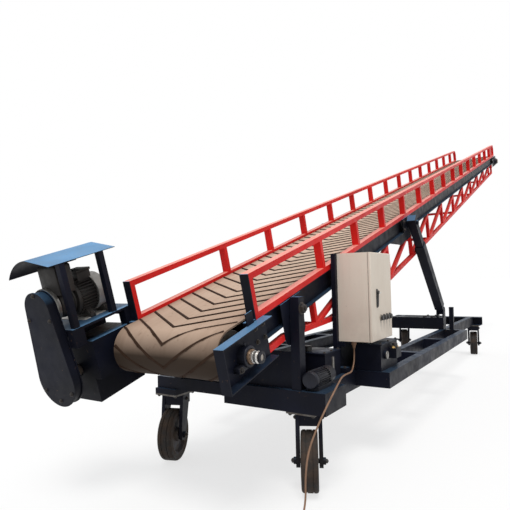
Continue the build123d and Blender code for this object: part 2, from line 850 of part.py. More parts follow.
def cabinet_door():
    y1 = cabinet_front - door_gap
    y0 = y1 - door_thick
    door = block(cabinet_x, cabinet_end, y0, y1, cabinet_foot, cabinet_top)
    for z in knuckle_levels:
        z0 = z + knuckle_height + 1
        leaf = block(cabinet_end, hinge_x, hinge_y - knuckle_radius, hinge_y, z0, z0 + knuckle_height)
        door = door + leaf + rod_z(hinge_x, hinge_y, z0, z0 + knuckle_height, knuckle_radius)
    handle_x = cabinet_x + cabinet_width * 0.26
    handle_z = cabinet_foot + cabinet_height * 0.48
    door = door + block(handle_x - 12, handle_x + 12, y0 - 16, y0, handle_z - handle_height / 2,
                        handle_z + handle_height / 2)
    for k in range(button_count):
        x = cabinet_x + cabinet_width * 0.42 + k * button_pitch
        door = door + rod_y(x, y0 - 18, y0, cabinet_foot + cabinet_height * 0.25, button_radius)
    return door


def oil_tank():
    y0 = -(long_outer - long_flange) - tank_lap
    x1 = cabinet_x - cabinet_lead - tank_gap
    return block(x1 - tank_length, x1, y0, y0 + tank_width, frame_top, frame_top + tank_height)


def power_pack():
    y1 = cabinet_back - shelf_reach - pack_gap
    x0, y0 = deck_start + pack_inset, y1 - pack_width
    z1 = frame_top + pack_height
    tank = block(x0, x0 + pack_length, y0, y0 + pack_width, frame_top, z1)
    lid = block(x0 - 8, x0 + pack_length + 8, y0 - 8, y0 + pack_width + 8, z1 - 8, z1)
    valve = block(x0 + 150, x0 + 250, y0 - 46, y0, frame_top + 60, frame_top + 120)
    gauge = rod_y(x0 + 70, y0 - 14, y0, frame_top + 90, 24)
    return tank + lid + valve + gauge


def pump_motor():
    y = -(post_outer + pump_radius + pump_gap)
    body = rod_x(front_x + 10, front_x + 10 + pump_length, y, frame_top + pump_radius + 10, pump_radius)
    foot = block(front_x + 40, front_x + pump_length - 20, y - pump_radius * 0.7, y + pump_radius * 0.7,
                 frame_top,
                 frame_top + pump_radius)
    return body + foot


# Supply cord: from the gland under the cabinet, past the end of the front beam, down to the floor
cord_radius = 4.5
cord_gap = 0.3
coil_radius = 54.0
coil_rows = 3
plug_radius = 20.0
plug_length = 95.0
gland_x, gland_y = 905.0, -470.0
gland_tip = cabinet_foot - gland_length
cord_route = [(gland_x, gland_y, gland_tip - cord_gap), (905, -470, 585), (872, -474, 537),
              (812, -486, 518),
              (700, -500, 528), (585, -522, 535), (470, -552, 529), (360, -575, 510), (255, -584, 468),
              (154, -580, 398), (74, -567, 304), (48, -562, 196), (36, -568, 88), (-52, -580, 24),
              (-150, -600, 6.5), (-247, -623, 5)]


def bend_radii(points):
    radii = []
    for a, b, c in zip(points[:-2], points[1:-1], points[2:]):
        before, after = Vector(*b) - Vector(*a), Vector(*c) - Vector(*b)
        turn = math.radians(before.get_angle(after))
        radii.append(0.45 * min(before.length, after.length) / math.tan(turn / 2))
    return radii


def supply_cord():
    radii = bend_radii(cord_route)
    print("cord bend radii", [round(r) for r in radii])
    path = FilletPolyline(*cord_route, radius=radii)
    print("cord length", round(path.length, 1))
    return sweep(Plane(origin=path @ 0, z_dir=path % 0) * Circle(cord_radius), path)


last, before_last = Vector(*cord_route[-1]), Vector(*cord_route[-2])
heading = Vector(last.X - before_last.X, last.Y - before_last.Y, 0).normalized()
coil_band = coil_rows * cord_radius
coil_outer = coil_radius + coil_band
coil_x = last.X + heading.Y * (coil_outer + cord_radius + cord_gap)
coil_y = last.Y - heading.X * (coil_outer + cord_radius + cord_gap)


def cord_coil():
    height = 2 * coil_band
    return rod_z(coil_x, coil_y, 0, height, coil_outer) - rod_z(coil_x, coil_y, 0, height,
                                                                coil_radius - coil_band)


def cord_plug():
    x = coil_x - coil_outer - plug_radius - cord_gap
    return rod_y(x, coil_y - plug_length / 2, coil_y + plug_length / 2, plug_radius, plug_radius)


def cord_gland():
    nut = rod_z(gland_x, gland_y, cabinet_foot - gland_length / 2, cabinet_foot, gland_radius)
    sleeve = Pos(gland_x, gland_y, gland_tip + gland_length / 4) * Cone(cord_radius + 2, gland_radius - 3,
                                                                        gland_length / 2)
    return nut + sleeve


# Collect the nodes, then move the origin under the middle of the machine
for sign, side in ((-1, "near"), (1, "far")):
    nodes["side_beam_" + side] = tilt(side_beam(sign))
    nodes["guard_rail_" + side] = tilt(guard_rail(sign))
    nodes["tail_frame_" + side] = tilt(tail_frame(sign))
    nodes["head_frame_" + side] = tilt(head_frame(sign))
    nodes["truss_" + side] = tilt(truss(sign))
    nodes["long_beam_" + side] = long_beam(sign)
    nodes["side_deck_" + side] = side_deck(sign)
    nodes["pivot_post_" + side] = pivot_post(sign)
    nodes["leg_outer_" + side] = leg_outer_tube(sign)
    nodes["leg_inner_" + side] = leg_inner_tube(sign)

bearing_reach = half + tail_sheet + bearing_width
nodes["belt"] = tilt(ribbed_belt())
reducer_reach = half + tail_flange + 6 + reducer_width
stub = rod_y(-tail_reach, -bearing_reach - shaft_stub, -bearing_reach, axis_w, stub_radius)
nodes["tail_drum"] = tilt(drum(-tail_reach, reducer_reach) + stub)
nodes["head_drum"] = tilt(drum(head_axis, bearing_reach))
nodes["tail_bearings"] = tilt(Compound(children=[bearing(-1, -tail_reach), bearing(1, -tail_reach)]))
nodes["head_bearings"] = tilt(Compound(children=[bearing(-1, head_axis), bearing(1, head_axis)]))
nodes["bed"] = tilt(bed())
nodes["return_rollers"] = tilt(return_rollers())
nodes["truss_ties"] = tilt(truss_ties())
nodes["motor_platform"] = tilt(motor_platform())
nodes["drive_motor"] = tilt(drive_motor())
nodes["chain_guard"] = tilt(chain_guard())
nodes["worm_reducer"] = tilt(worm_reducer())
nodes["rain_cover"] = tilt(rain_cover())
nodes["cover_posts"] = tilt(cover_posts())
nodes["pivot_hubs"] = tilt(pivot_hubs())
nodes["leg_brackets"] = tilt(leg_brackets())
nodes["front_sleeve"] = front_sleeve()
nodes["front_extension"] = front_extension()
nodes["rear_sleeve"] = rear_sleeve()
nodes["rear_extension"] = rear_extension()
nodes["leg_beam"] = leg_beam()
nodes["castor_plates"] = castor_plates()
nodes["cabinet_posts"] = cabinet_posts()
nodes["control_cabinet"] = cabinet()
nodes["cabinet_door"] = cabinet_door()
nodes["oil_tank"] = oil_tank()
nodes["pump_motor"] = pump_motor()
nodes["power_pack"] = power_pack()
for name, x, y, turn in castors:
    nodes["fork_" + name] = fork_solid(x, y, turn)
    nodes["wheel_" + name] = wheel_solid(x, y, turn)

boxes = [shape.bounding_box() for shape in nodes.values()]
x_min, x_max = min(b.min.X for b in boxes), max(b.max.X for b in boxes)
y_min, y_max = min(b.min.Y for b in boxes), max(b.max.Y for b in boxes)
z_min, z_max = min(b.min.Z for b in boxes), max(b.max.Z for b in boxes)
shift_x, shift_y, shift_z = -(x_min + x_max) / 2, -(y_min + y_max) / 2, -z_min
os.makedirs("parts", exist_ok=True)
nodes["cord_gland"] = cord_gland()
nodes["supply_cord"] = supply_cord()
nodes["cord_coil"] = cord_coil()
nodes["cord_plug"] = cord_plug()
for name, shape in nodes.items():
    export_step(Pos(shift_x, shift_y, shift_z) * shape, f"parts/{name}.step")

points = {"pivot": (pivot_x, 0, pivot_z), "leg_foot": (leg_foot_x, 0, foot_z),
          "leg_top": (top_x, 0, top_z),
          "hinge": (hinge_x, hinge_y, cabinet_foot), "gland": (gland_x, gland_y, gland_tip),
          "coil": (coil_x, coil_y, 0), "cabinet_low": (cabinet_x, cabinet_front, cabinet_foot),
          "cabinet_high": (cabinet_end, cabinet_back, cabinet_top)}
shaft_x, shaft_z = world(-tail_reach, axis_w)
points["tail_shaft"] = (shaft_x, -bearing_reach - shaft_stub / 2, shaft_z)
for u in (1000, 4500, 8000):
    x, z = world(u, belt_top)
    points[f"belt_{u}"] = (x, 0, z)
for name, x, y, turn in castors:
    angle = math.radians(turn)
    points["king_" + name] = (x, y, castor_height)
    points["axle_" + name] = (x + castor_trail * math.cos(angle), y + castor_trail * math.sin(angle),
                              wheel_radius)
    points["spin_" + name] = (-math.sin(angle) - shift_x, math.cos(angle) - shift_y, -shift_z)
for name, (x, y, z) in points.items():
    print("point", name, round(x + shift_x, 3), round(y + shift_y, 3), round(z + shift_z, 3))
print("shift", shift_x, shift_y, shift_z)
print("box", x_min + shift_x, x_max + shift_x, y_min + shift_y, y_max + shift_y, z_min + shift_z,
      z_max + shift_z)
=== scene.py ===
# %% [markdown]
# # Dressing a portable conveyor
#
# The machine is a ten metre belt conveyor that is wheeled up to a truck. Its solid model is already
# made, with its joints, so this lesson gives it its looks: paint, rubber, bolts, bearings and a cord.
# Everything is in metres, in the frame of the solid model: X runs from the low tail to the high head, Y
# to the drive side and Z up.

# %% Load the frame
import json
import math
from contextlib import contextmanager
from itertools import product

import bmesh
import bpy
from mathutils import Euler, Matrix, Vector


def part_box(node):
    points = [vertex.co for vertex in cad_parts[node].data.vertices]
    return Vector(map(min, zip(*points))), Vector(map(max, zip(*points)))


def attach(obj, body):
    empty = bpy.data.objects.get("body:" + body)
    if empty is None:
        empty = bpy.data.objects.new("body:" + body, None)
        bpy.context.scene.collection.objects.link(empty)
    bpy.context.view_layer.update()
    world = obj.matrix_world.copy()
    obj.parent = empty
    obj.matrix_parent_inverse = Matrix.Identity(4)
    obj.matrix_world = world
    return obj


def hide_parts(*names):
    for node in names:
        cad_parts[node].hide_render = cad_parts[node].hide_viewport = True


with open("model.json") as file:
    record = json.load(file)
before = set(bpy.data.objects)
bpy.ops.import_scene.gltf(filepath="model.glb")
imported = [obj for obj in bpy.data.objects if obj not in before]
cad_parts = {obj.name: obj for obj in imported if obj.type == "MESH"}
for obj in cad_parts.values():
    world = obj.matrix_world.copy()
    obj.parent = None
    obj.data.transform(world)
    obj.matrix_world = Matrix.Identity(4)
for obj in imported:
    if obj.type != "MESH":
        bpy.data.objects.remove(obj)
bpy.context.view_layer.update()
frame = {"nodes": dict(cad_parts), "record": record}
nodes = frame["nodes"]
bpy.ops.object.select_all(action="DESELECT")

# %% [markdown]
# ## Two places to draw in
#
# The drawing starts at the foot of the boom, on the floor for the chassis and at the tail's height for
# the boom, which is drawn level before it is tilted. Two matrices set what is drawn there into the
# frame, so every later number can be read off the drawing. Only the cord's route is in millimetres.

# %% Places on the drawing
sheet_origin = Vector((-4.220494, -0.0155, 0.0))
incline = math.radians(15.6)
tail_height = 0.882
chassis_place = Matrix.Translation(sheet_origin)
boom_foot = sheet_origin + Vector((0, 0, tail_height))
boom_turn = Matrix.Translation(boom_foot) @ Matrix.Rotation(-incline, 4, "Y")


def on_chassis(millimetres):
    return sheet_origin + Vector(millimetres) / 1000.0


print("boom foot at", [round(value, 3) for value in boom_foot])

# %% [markdown]
# ## The camera
#
# The photograph was taken at eye level from the tail, on the side of the control cabinet. The lens and
# the place come from the row of rail posts, which shrink along the boom in a known way. The small shift
# says that the picture was cropped off centre.

# %% Place the camera
bpy.ops.object.camera_add(location=(-6.1294, -1.5807, 1.0668))
camera = bpy.context.object
camera.name = "photo_camera"
camera.rotation_euler = Euler([math.radians(angle) for angle in (91.131, 1.477, -56.475)])
camera.data.sensor_width = 36.0
camera.data.lens = 35.01
camera.data.shift_x = 0.0212
camera.data.shift_y = 0.0290
camera.data.clip_end = 200.0
bpy.context.scene.camera = camera
bpy.context.scene.view_settings.view_transform = "Standard"
print("lens", camera.data.lens, "mm")

# %% [markdown]
# ## Helpers for node trees
#
# A finish is a small web of nodes. One helper adds a node and fills its inputs, each with a constant or
# with a wire from another node. A second one finds the tree by those wires. The rest name the few kinds
# that this lesson needs: noise, a stretched mapping, a change of range, a mix of two colours and plain
# arithmetic.


# %% Add and join nodes
def add_node(tree, kind, inputs, **settings):
    node = tree.nodes.new("ShaderNode" + kind)
    for name, value in settings.items():
        setattr(node, name, value)
    for name, value in inputs.items():
        if isinstance(value, bpy.types.NodeSocket):
            tree.links.new(value, node.inputs[name])
        else:
            node.inputs[name].default_value = value
    return node


def join_node(kind, inputs, **settings):
    # A node in the tree that its wires come from
    wires = [value for value in inputs.values() if isinstance(value, bpy.types.NodeSocket)]
    return add_node(wires[0].id_data, kind, inputs, **settings)


def noise(place, scale, detail=3.0, rough=0.55):
    inputs = {"Vector": place, "Scale": scale, "Detail": detail, "Roughness": rough}
    return join_node("TexNoise", inputs).outputs["Fac"]


def mapped(place, location=(0, 0, 0), scale=(1, 1, 1)):
    inputs = {"Vector": place, "Location": location, "Scale": scale}
    return join_node("Mapping", inputs).outputs["Vector"]


def remap(value, low, high, to_low=0.0, to_high=1.0):
    inputs = {"Value": value, "From Min": low, "From Max": high, "To Min": to_low, "To Max": to_high}
    return join_node("MapRange", inputs).outputs["Result"]


def mix(factor, first, second):
    first, second = ((*tone, 1.0) if isinstance(tone, tuple) else tone for tone in (first, second))
    return join_node("Mix", {"Factor": factor, 6: first, 7: second}, data_type="RGBA").outputs[2]


def stained(coat, tone, place, grain, span):
    # The coat with another tone over it, where noise of one grain rises through a span
    return mix(remap(noise(place, *grain), *span), coat, tone)


def maths(operation, first, second=0.0):
    return join_node("Math", {0: first, 1: second}, operation=operation).outputs[0]


def times(first, *others):
    for other in others:
        first = maths("MULTIPLY", first, other)
    return first


def less(first, second):
    return maths("SUBTRACT", first, second)


def split(vector):
    outputs = join_node("SeparateXYZ", {0: vector}).outputs
    return outputs["X"], outputs["Y"], outputs["Z"]


def blend_shaders(share, first, second):
    return join_node("MixShader", {0: share, 1: first.outputs[0], 2: second.outputs[0]}).outputs[0]


print("node helpers ready")


# %% Start and close a material
def start_material(name):
    material = bpy.data.materials.new(name)
    material.use_nodes = True
    tree = material.node_tree
    return material, tree, tree.nodes["Principled BSDF"]


def coordinates(tree, kind="Object"):
    return add_node(tree, "TexCoord", {}).outputs[kind]


def boom_level(place):
    # Coordinates along, across and above the boom, as if it lay level
    inputs = {"Vector": place, "Center": boom_foot, "Axis": (0, 1, 0), "Angle": incline}
    level = join_node("VectorRotate", inputs, rotation_type="AXIS_ANGLE")
    return mapped(level.outputs["Vector"], location=-boom_foot)


def close_material(tree, shader, tone, rough, gloss, grain, relief, depth):
    # Colour, roughness and gloss of the surface, and a bump from its grain
    tree.links.new(tone, shader.inputs["Base Color"])
    if isinstance(rough, float):
        shader.inputs["Roughness"].default_value = rough
    else:
        tree.links.new(rough, shader.inputs["Roughness"])
    shader.inputs["Specular IOR Level"].default_value = gloss
    bump = join_node("Bump", {"Strength": relief, "Distance": depth, "Height": grain})
    tree.links.new(bump.outputs["Normal"], shader.inputs["Normal"])


print("material helpers ready")

# %% [markdown]
# ## Floor and light
#
# A pale floor keeps the machine's shadow, lightened as it is in the photograph. The camera sees the
# floor white, but it throws back less light than a white floor would, because the undersides of the
# real machine are nearly black. The world is a soft even sky. A wide, weak sun high behind the camera
# gives the tops and the near side their light, and its shadow falls away from the camera.


# %% Lay the floor
def seen_by_eye(tree):
    # One where the eye, a reflection or a clear pane looks at the surface, nought for the light it throws
    rays = add_node(tree, "LightPath", {}).outputs
    direct = maths("MAXIMUM", rays["Is Camera Ray"], rays["Is Transmission Ray"])
    return maths("MAXIMUM", direct, rays["Is Glossy Ray"])


white = (1.0, 1.0, 1.0, 1.0)
thrown_tone, seen_tone, glow_share = (0.50, 0.50, 0.51), (0.96, 0.96, 0.96), 0.70
bpy.ops.mesh.primitive_plane_add(size=160.0, location=(10.0, 0.0, -0.0005))
floor = bpy.context.object
floor.name = "studio_floor"
floor_paint, tree, shader = start_material("floor_white")
shader.inputs["Roughness"].default_value = 0.95
shader.inputs["Specular IOR Level"].default_value = 0.0
floor_tone = mix(seen_by_eye(tree), thrown_tone, seen_tone)
tree.links.new(floor_tone, shader.inputs["Base Color"])
glow = add_node(tree, "Emission", {"Color": white, "Strength": 1.0})
floor_blend = blend_shaders(times(seen_by_eye(tree), glow_share), shader, glow)
tree.links.new(floor_blend, tree.nodes["Material Output"].inputs["Surface"])
floor.data.materials.append(floor_paint)
print("floor", floor.dimensions)

# %% Light the sky
sky_tone, sky_strength = (0.95, 0.98, 1.0, 1.0), 0.68
world = bpy.data.worlds.new("soft_sky")
bpy.context.scene.world = world
world.use_nodes = True
sky = world.node_tree
sky.nodes.clear()
sky_light = add_node(sky, "Background", {"Color": sky_tone, "Strength": sky_strength})
sky_white = add_node(sky, "Background", {"Color": white, "Strength": 1.0})
sky_blend = blend_shaders(seen_by_eye(sky), sky_light, sky_white)
add_node(sky, "OutputWorld", {"Surface": sky_blend})

bpy.ops.object.light_add(type="SUN", location=(2.0, -6.0, 9.0))
sun = bpy.context.object
sun.name = "high_key"
sun.data.energy = 1.6
sun.data.angle = math.radians(24.0)
sun.data.color = (1.0, 0.98, 0.95)
sun.rotation_euler = Vector((0.35, 0.20, -1.0)).to_track_quat("-Z", "Y").to_euler()
print("sky strength", sky_strength, "key", sun.data.energy)

# %% [markdown]
# ## Paint
#
# Every steel piece is sprayed by hand in red or a very dark blue. The blue's body is made nearly black,
# which is painted shade on its sides. What faces up is painted paler: painted sky light on the blue and a
# painted reflection of the sky on the red, most of all high up on the boom. One helper builds both
# paints: slow noise for the uneven coat, a mask from the surface's own direction and height for the
# painted sky light, stretched noise for the run marks, and a fine bump for the orange peel. It could be a
# painted picture, but noise stays sharp at every size.


# %% A helper for sprayed paint
def sprayed_paint(name, body, deep, sky_lit_tone, sky_light_share, low_shade_share, rough, gloss):
    primer, dust = (0.085, 0.052, 0.036), (0.12, 0.095, 0.075)
    material, tree, shader = start_material(name)
    place = coordinates(tree)
    coat = stained(body, deep, place, (2.3,), (0.35, 0.65))
    # Run marks: noise stretched along the fall of rain
    rainfall = mapped(place, scale=(26, 26, 2.2))
    coat = stained(coat, deep, rainfall, (1.0, 4.0), (0.58, 0.80, 0.0, 0.35))
    # Painted sky light on tops, less where painted shade falls: channels, under the rain cover, low
    # chassis
    height = split(place)[2]
    along, across, lift = split(boom_level(place))
    upward = remap(split(coordinates(tree, "Normal"))[2], 0.30, 0.92, 0.0, sky_light_share)
    raised = remap(height, 0.52, 0.98, low_shade_share, 1.0)
    in_channel, on_chassis_top = remap(lift, -0.06, -0.03, 0.14, 1.0), remap(height, 0.56, 0.54)
    channel = maths("MAXIMUM", in_channel, on_chassis_top)
    under_roof = times(remap(across, 0.37, 0.40), remap(lift, 0.32, 0.28))
    covered = times(under_roof, remap(along, 0.02, -0.02, 0.0, 0.62))
    painted_light_share = times(raised, channel, less(1.0, covered))
    patchy = remap(noise(place, 7.0, 5.0), 0.30, 0.70, 0.62, 1.0)
    coat = mix(times(upward, patchy, painted_light_share), coat, sky_lit_tone)
    # Chips down to the primer and a little rust
    coat = stained(coat, primer, place, (46.0, 5.0, 0.65), (0.655, 0.70, 0.0, 0.75))
    # Dust settles on the lowest steel
    low_steel = remap(height, 0.05, 0.42, 0.16, 0.0)
    dusty = times(low_steel, remap(noise(place, 5.0, 4.0), 0.35, 0.65))
    coat = mix(dusty, coat, dust)
    worn = remap(noise(place, 14.0, 4.0), 0.3, 0.7, rough - 0.08, rough + 0.14)
    close_material(tree, shader, coat, worn, gloss, noise(place, 240.0, 2.0), 0.12, 0.0006)
    return material


# %% Mix the red and the blue
# The red's pale top tone is a painted reflection of the sky
red_paint = sprayed_paint(
    "rail_red",
    body=(0.84, 0.021, 0.018),
    deep=(0.64, 0.013, 0.012),
    sky_lit_tone=(0.93, 0.40, 0.32),
    sky_light_share=0.92,
    low_shade_share=0.35,
    rough=0.42,
    gloss=0.18,
)
# Painted shade: the nearly black body stands for the blue's shaded sides; the pale top tone is painted sky
# light
blue_paint = sprayed_paint(
    "frame_blue",
    body=(0.0088, 0.0105, 0.0220),
    deep=(0.0066, 0.0070, 0.0105),
    sky_lit_tone=(0.165, 0.360, 0.620),
    sky_light_share=0.95,
    low_shade_share=0.10,
    rough=0.42,
    gloss=0.10,
)
print("paints", red_paint.name, blue_paint.name)

# %% [markdown]
# ## Metal, enamel, plastic and rubber
#
# The smaller pieces share one recipe: two close tones mixed by a stain, a roughness that wanders with
# it and a bump at the size of the casting or the moulding. Only the numbers change from one finish to
# the next.


# %% A helper for plain finishes
def plain_finish(name, body, deep, rough, metal=0.0, scale=7.0, gloss=0.5):
    material, tree, shader = start_material(name)
    place = coordinates(tree)
    coat = stained(body, deep, place, (scale, 5.0), (0.32, 0.68))
    grime = tuple(tone * 0.35 for tone in deep)
    coat = stained(coat, grime, place, (scale * 6, 4.0, 0.7), (0.62, 0.76, 0.0, 0.5))
    worn = remap(noise(place, scale * 3, 4.0), 0.3, 0.7, rough - 0.1, rough + 0.12)
    shader.inputs["Metallic"].default_value = metal
    close_material(tree, shader, coat, worn, gloss, noise(place, scale * 30, 3.0), 0.15, 0.0008)
    return material


# %% Plain finishes: two tones, roughness, metal, grain and gloss
steel = plain_finish("worn_steel", (0.50, 0.48, 0.45), (0.24, 0.20, 0.16), 0.40, 0.9, 12.0)
bright_steel = plain_finish("bright_steel", (0.86, 0.85, 0.83), (0.62, 0.59, 0.55), 0.26, 0.85, 20.0)
zinc = plain_finish("zinc_bolt", (0.40, 0.39, 0.36), (0.20, 0.17, 0.13), 0.45, 0.8, 40.0)
black_bolt = plain_finish(
    "black_bolt", (0.030, 0.030, 0.033), (0.060, 0.046, 0.036), 0.50, 0.3, 40.0, 0.3
)
iron = plain_finish("bearing_iron", (0.050, 0.052, 0.064), (0.085, 0.062, 0.045), 0.60, 0.15, 16.0, 0.25)
race_brown = plain_finish("oiled_race", (0.30, 0.20, 0.13), (0.15, 0.09, 0.055), 0.38, 0.6, 30.0)
# Painted shade: the motor enamel is made darker than its own colour, for the shade under the rain cover
motor_enamel_and_shade = plain_finish(
    "motor_enamel_and_shade", (0.036, 0.032, 0.029), (0.019, 0.017, 0.016), 0.50, 0.05, 10.0, 0.3
)
# Pale enough to carry a painted highlight where it dresses the motor's fan cover
fan_grey = plain_finish("fan_grey", (0.56, 0.54, 0.51), (0.36, 0.34, 0.31), 0.42, 0.3, 8.0, 0.4)
ring_grey = plain_finish("ring_grey", (0.34, 0.33, 0.31), (0.20, 0.185, 0.17), 0.38, 0.7, 14.0)
plate_steel = plain_finish("plate_steel", (0.19, 0.18, 0.17), (0.08, 0.066, 0.054), 0.50, 0.6, 14.0)
black_plastic = plain_finish(
    "black_plastic", (0.016, 0.016, 0.018), (0.034, 0.032, 0.030), 0.40, 0.0, 24.0, 0.4
)
cord_sheath = plain_finish(
    "cord_sheath", (0.31, 0.185, 0.122), (0.22, 0.128, 0.082), 0.60, 0.0, 18.0, 0.2
)
pump_enamel = plain_finish(
    "pump_enamel", (0.012, 0.014, 0.026), (0.008, 0.008, 0.010), 0.45, 0.05, 10.0, 0.3
)
brass = plain_finish("plug_brass", (0.72, 0.50, 0.20), (0.48, 0.30, 0.11), 0.32, 0.9, 40.0)
print("finishes made", len(bpy.data.materials))

# %% [markdown]
# ## Tyre rubber
#
# The castors roll over a yard, so their rubber is nearly black with brown dust on it and paler scuffs.
# The dust is only noise, so one rubber serves all four.

# %% Mix the rubber
tyre_rubber, tree, shader = start_material("tyre_rubber")
place = coordinates(tree)
dust = remap(noise(place, 16.0, 6.0, 0.62), 0.38, 0.70)
rubber = mix(dust, (0.016, 0.014, 0.013), (0.070, 0.047, 0.034))
rubber = stained(rubber, (0.11, 0.085, 0.066), place, (90.0, 4.0, 0.7), (0.58, 0.72, 0.0, 0.6))
worn = remap(dust, 0.0, 1.0, 0.62, 0.90)
close_material(tree, shader, rubber, worn, 0.3, noise(place, 320.0, 4.0), 0.35, 0.0010)
print("rubber", tyre_rubber.name)

# %% [markdown]
# ## Belt rubber
#
# The belt is brown with the dust of whatever it carries, and thin chevron ribs stand up from it. Dust
# does not stay on the ribs, so they read as dark lines. The mask for them is simply height: how far a
# point lies above the carrying strand, outside a drum, or below the return strand. A turn lays the
# tilted boom level first.

# %% Find the belt's ribs
belt_rubber, tree, shader = start_material("belt_rubber")
place = coordinates(tree)
flat = boom_level(place)
along, across, lift = split(flat)
carry_top, return_low, drum_outer = 0.0123, -0.0580, 0.1180
tail_axis, head_axis, axis_drop = -0.160, 9.180, -0.1057
above = remap(lift, carry_top + 0.0008, carry_top + 0.0022)
below = remap(lift, return_low - 0.0008, return_low - 0.0022)
drop = less(lift, axis_drop)
rib_mask = maths("MAXIMUM", above, below)
for axis, side in ((tail_axis, -1.0), (head_axis, 1.0)):
    reach = less(along, axis)
    squares = maths("ADD", times(reach, reach), times(drop, drop))
    raised = remap(maths("SQRT", squares), drum_outer + 0.0010, drum_outer + 0.0024)
    beyond = remap(times(reach, side), -0.004, 0.004)
    on_flat, on_drum = times(rib_mask, less(1.0, beyond)), times(raised, beyond)
    rib_mask = maths("ADD", on_flat, on_drum)
print("ribs masked by", rib_mask.node.name)

# %% Find the dark lines beside the ribs
# A dark line follows the chevrons beside each rib, along the strand and round the tail
rib_pitch, rib_slant, rib_lead = 0.110, 0.660, 0.004
behind = remap(along, tail_axis + 0.001, tail_axis - 0.001)
tail_turn = maths("ARCTAN2", less(tail_axis, along), drop)
straight = times(less(along, tail_axis), less(1.0, behind))
wrapped = times(tail_turn, -drum_outer, behind)
aside = maths("ABSOLUTE", across)
travel = less(maths("ADD", straight, wrapped), times(aside, rib_slant))
cycle = maths("FRACT", maths("DIVIDE", maths("ADD", travel, rib_lead), rib_pitch))
stripe = remap(cycle, 0.120, 0.150, 1.0, 0.0)
stripe = times(stripe, remap(aside, 0.300, 0.304, 1.0, 0.0))
upper = maths("MAXIMUM", remap(lift, -0.030, -0.020), behind)
upper = times(upper, remap(along, head_axis - 0.002, head_axis, 1.0, 0.0))
rib_mask = maths("MAXIMUM", rib_mask, times(stripe, upper))
print("dirt lines every", rib_pitch, "m")

# %% Mix the belt
drag = mapped(flat, scale=(1.2, 26.0, 1.0))
dusty = stained((0.66, 0.510, 0.400), (0.55, 0.410, 0.315), place, (2.6, 5.0), (0.32, 0.68))
dusty = stained(dusty, (0.34, 0.235, 0.170), drag, (1.0, 4.0), (0.50, 0.78, 0.0, 0.45))
# Painted shade: the belt is darker and browner towards the tail drum
dusty = mix(remap(along, -0.30, 1.10, 0.48, 0.0), dusty, (0.325, 0.195, 0.130))
dusty = stained(dusty, (0.27, 0.175, 0.120), place, (24.0, 5.0, 0.65), (0.60, 0.72, 0.0, 0.55))
dusty = mix(remap(aside, 0.24, 0.31, 0.0, 0.55), dusty, (0.25, 0.165, 0.115))
# Painted shade: the belt is darkened where it turns under the drum
under = remap(lift, -0.088, 0.010, 0.975, 0.0)
dusty = mix(under, dusty, (0.036, 0.023, 0.015))
belt_tone = mix(rib_mask, dusty, (0.034, 0.016, 0.008))
close_material(tree, shader, belt_tone, 0.78, 0.2, noise(place, 150.0, 4.0), 0.25, 0.0012)
print("belt", belt_rubber.name)

# %% [markdown]
# ## Cabinet coat
#
# The control cabinet is a bought one in warm grey powder coat. It is the palest piece on the machine,
# so its dirt shows: a grey bloom towards the foot, faint streaks that run down, and darker drips under
# each push button.

# %% Coat, streaks and bloom
cabinet_coat, tree, shader = start_material("cabinet_coat")
place = coordinates(tree)
east, north, height = split(place)
door_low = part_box("cabinet_door")[0]
rainfall = mapped(place, scale=(40, 40, 1.6))
coat = stained((0.880, 0.775, 0.655), (0.810, 0.705, 0.590), place, (3.0, 4.0), (0.3, 0.7))
coat = stained(coat, (0.62, 0.515, 0.420), rainfall, (1.0, 4.0), (0.55, 0.80, 0.0, 0.20))
bloom = remap(height, door_low.z, door_low.z + 0.22, 0.50, 0.0)
bloom = times(bloom, remap(noise(place, 8.0, 5.0), 0.3, 0.7))
coat = mix(bloom, coat, (0.44, 0.35, 0.285))
print("cabinet door from", [round(value, 3) for value in door_low])

# %% Drips under the buttons
door_width, door_height, button_pitch = 0.375, 0.520, 0.056
button_first = door_low.x + 0.42 * door_width
button_level = door_low.z + 0.25 * door_height
row_end = button_first + 3.5 * button_pitch
button_steps = maths("DIVIDE", less(east, button_first), button_pitch)
cell = maths("FRACT", maths("ADD", button_steps, 0.5))
drip = remap(maths("ABSOLUTE", less(cell, 0.5)), 0.05, 0.16, 1.0, 0.0)
row_from = remap(east, button_first - 0.030, button_first - 0.024)
row_to = remap(east, row_end - 0.05 * button_pitch, row_end, 1.0, 0.0)
fall_from = remap(height, button_level - 0.085, button_level - 0.01)
fall_to = remap(height, button_level, button_level + 0.006, 1.0, 0.0)
front = remap(north, door_low.y + 0.030, door_low.y + 0.035, 1.0, 0.0)
broken = remap(noise(place, 60.0, 3.0), 0.35, 0.60, 0.35, 0.95)
drip = times(drip, row_from, row_to, fall_from, fall_to, front, broken)
coat = mix(drip, coat, (0.060, 0.048, 0.040))
coat = stained(coat, (0.30, 0.22, 0.17), place, (70.0, 4.0, 0.7), (0.68, 0.74, 0.0, 0.6))
worn = remap(noise(place, 12.0, 4.0), 0.3, 0.7, 0.42, 0.60)
close_material(tree, shader, coat, worn, 0.3, noise(place, 420.0, 2.0), 0.10, 0.0004)
print("cabinet coat", cabinet_coat.name)

# %% [markdown]
# ## Dress the solid model
#
# Each solid names the finish slot that it takes. Most of them keep their shape, because cut and folded
# steel is exactly what the solid model is good at. The pieces that follow replace the ones that are
# not.

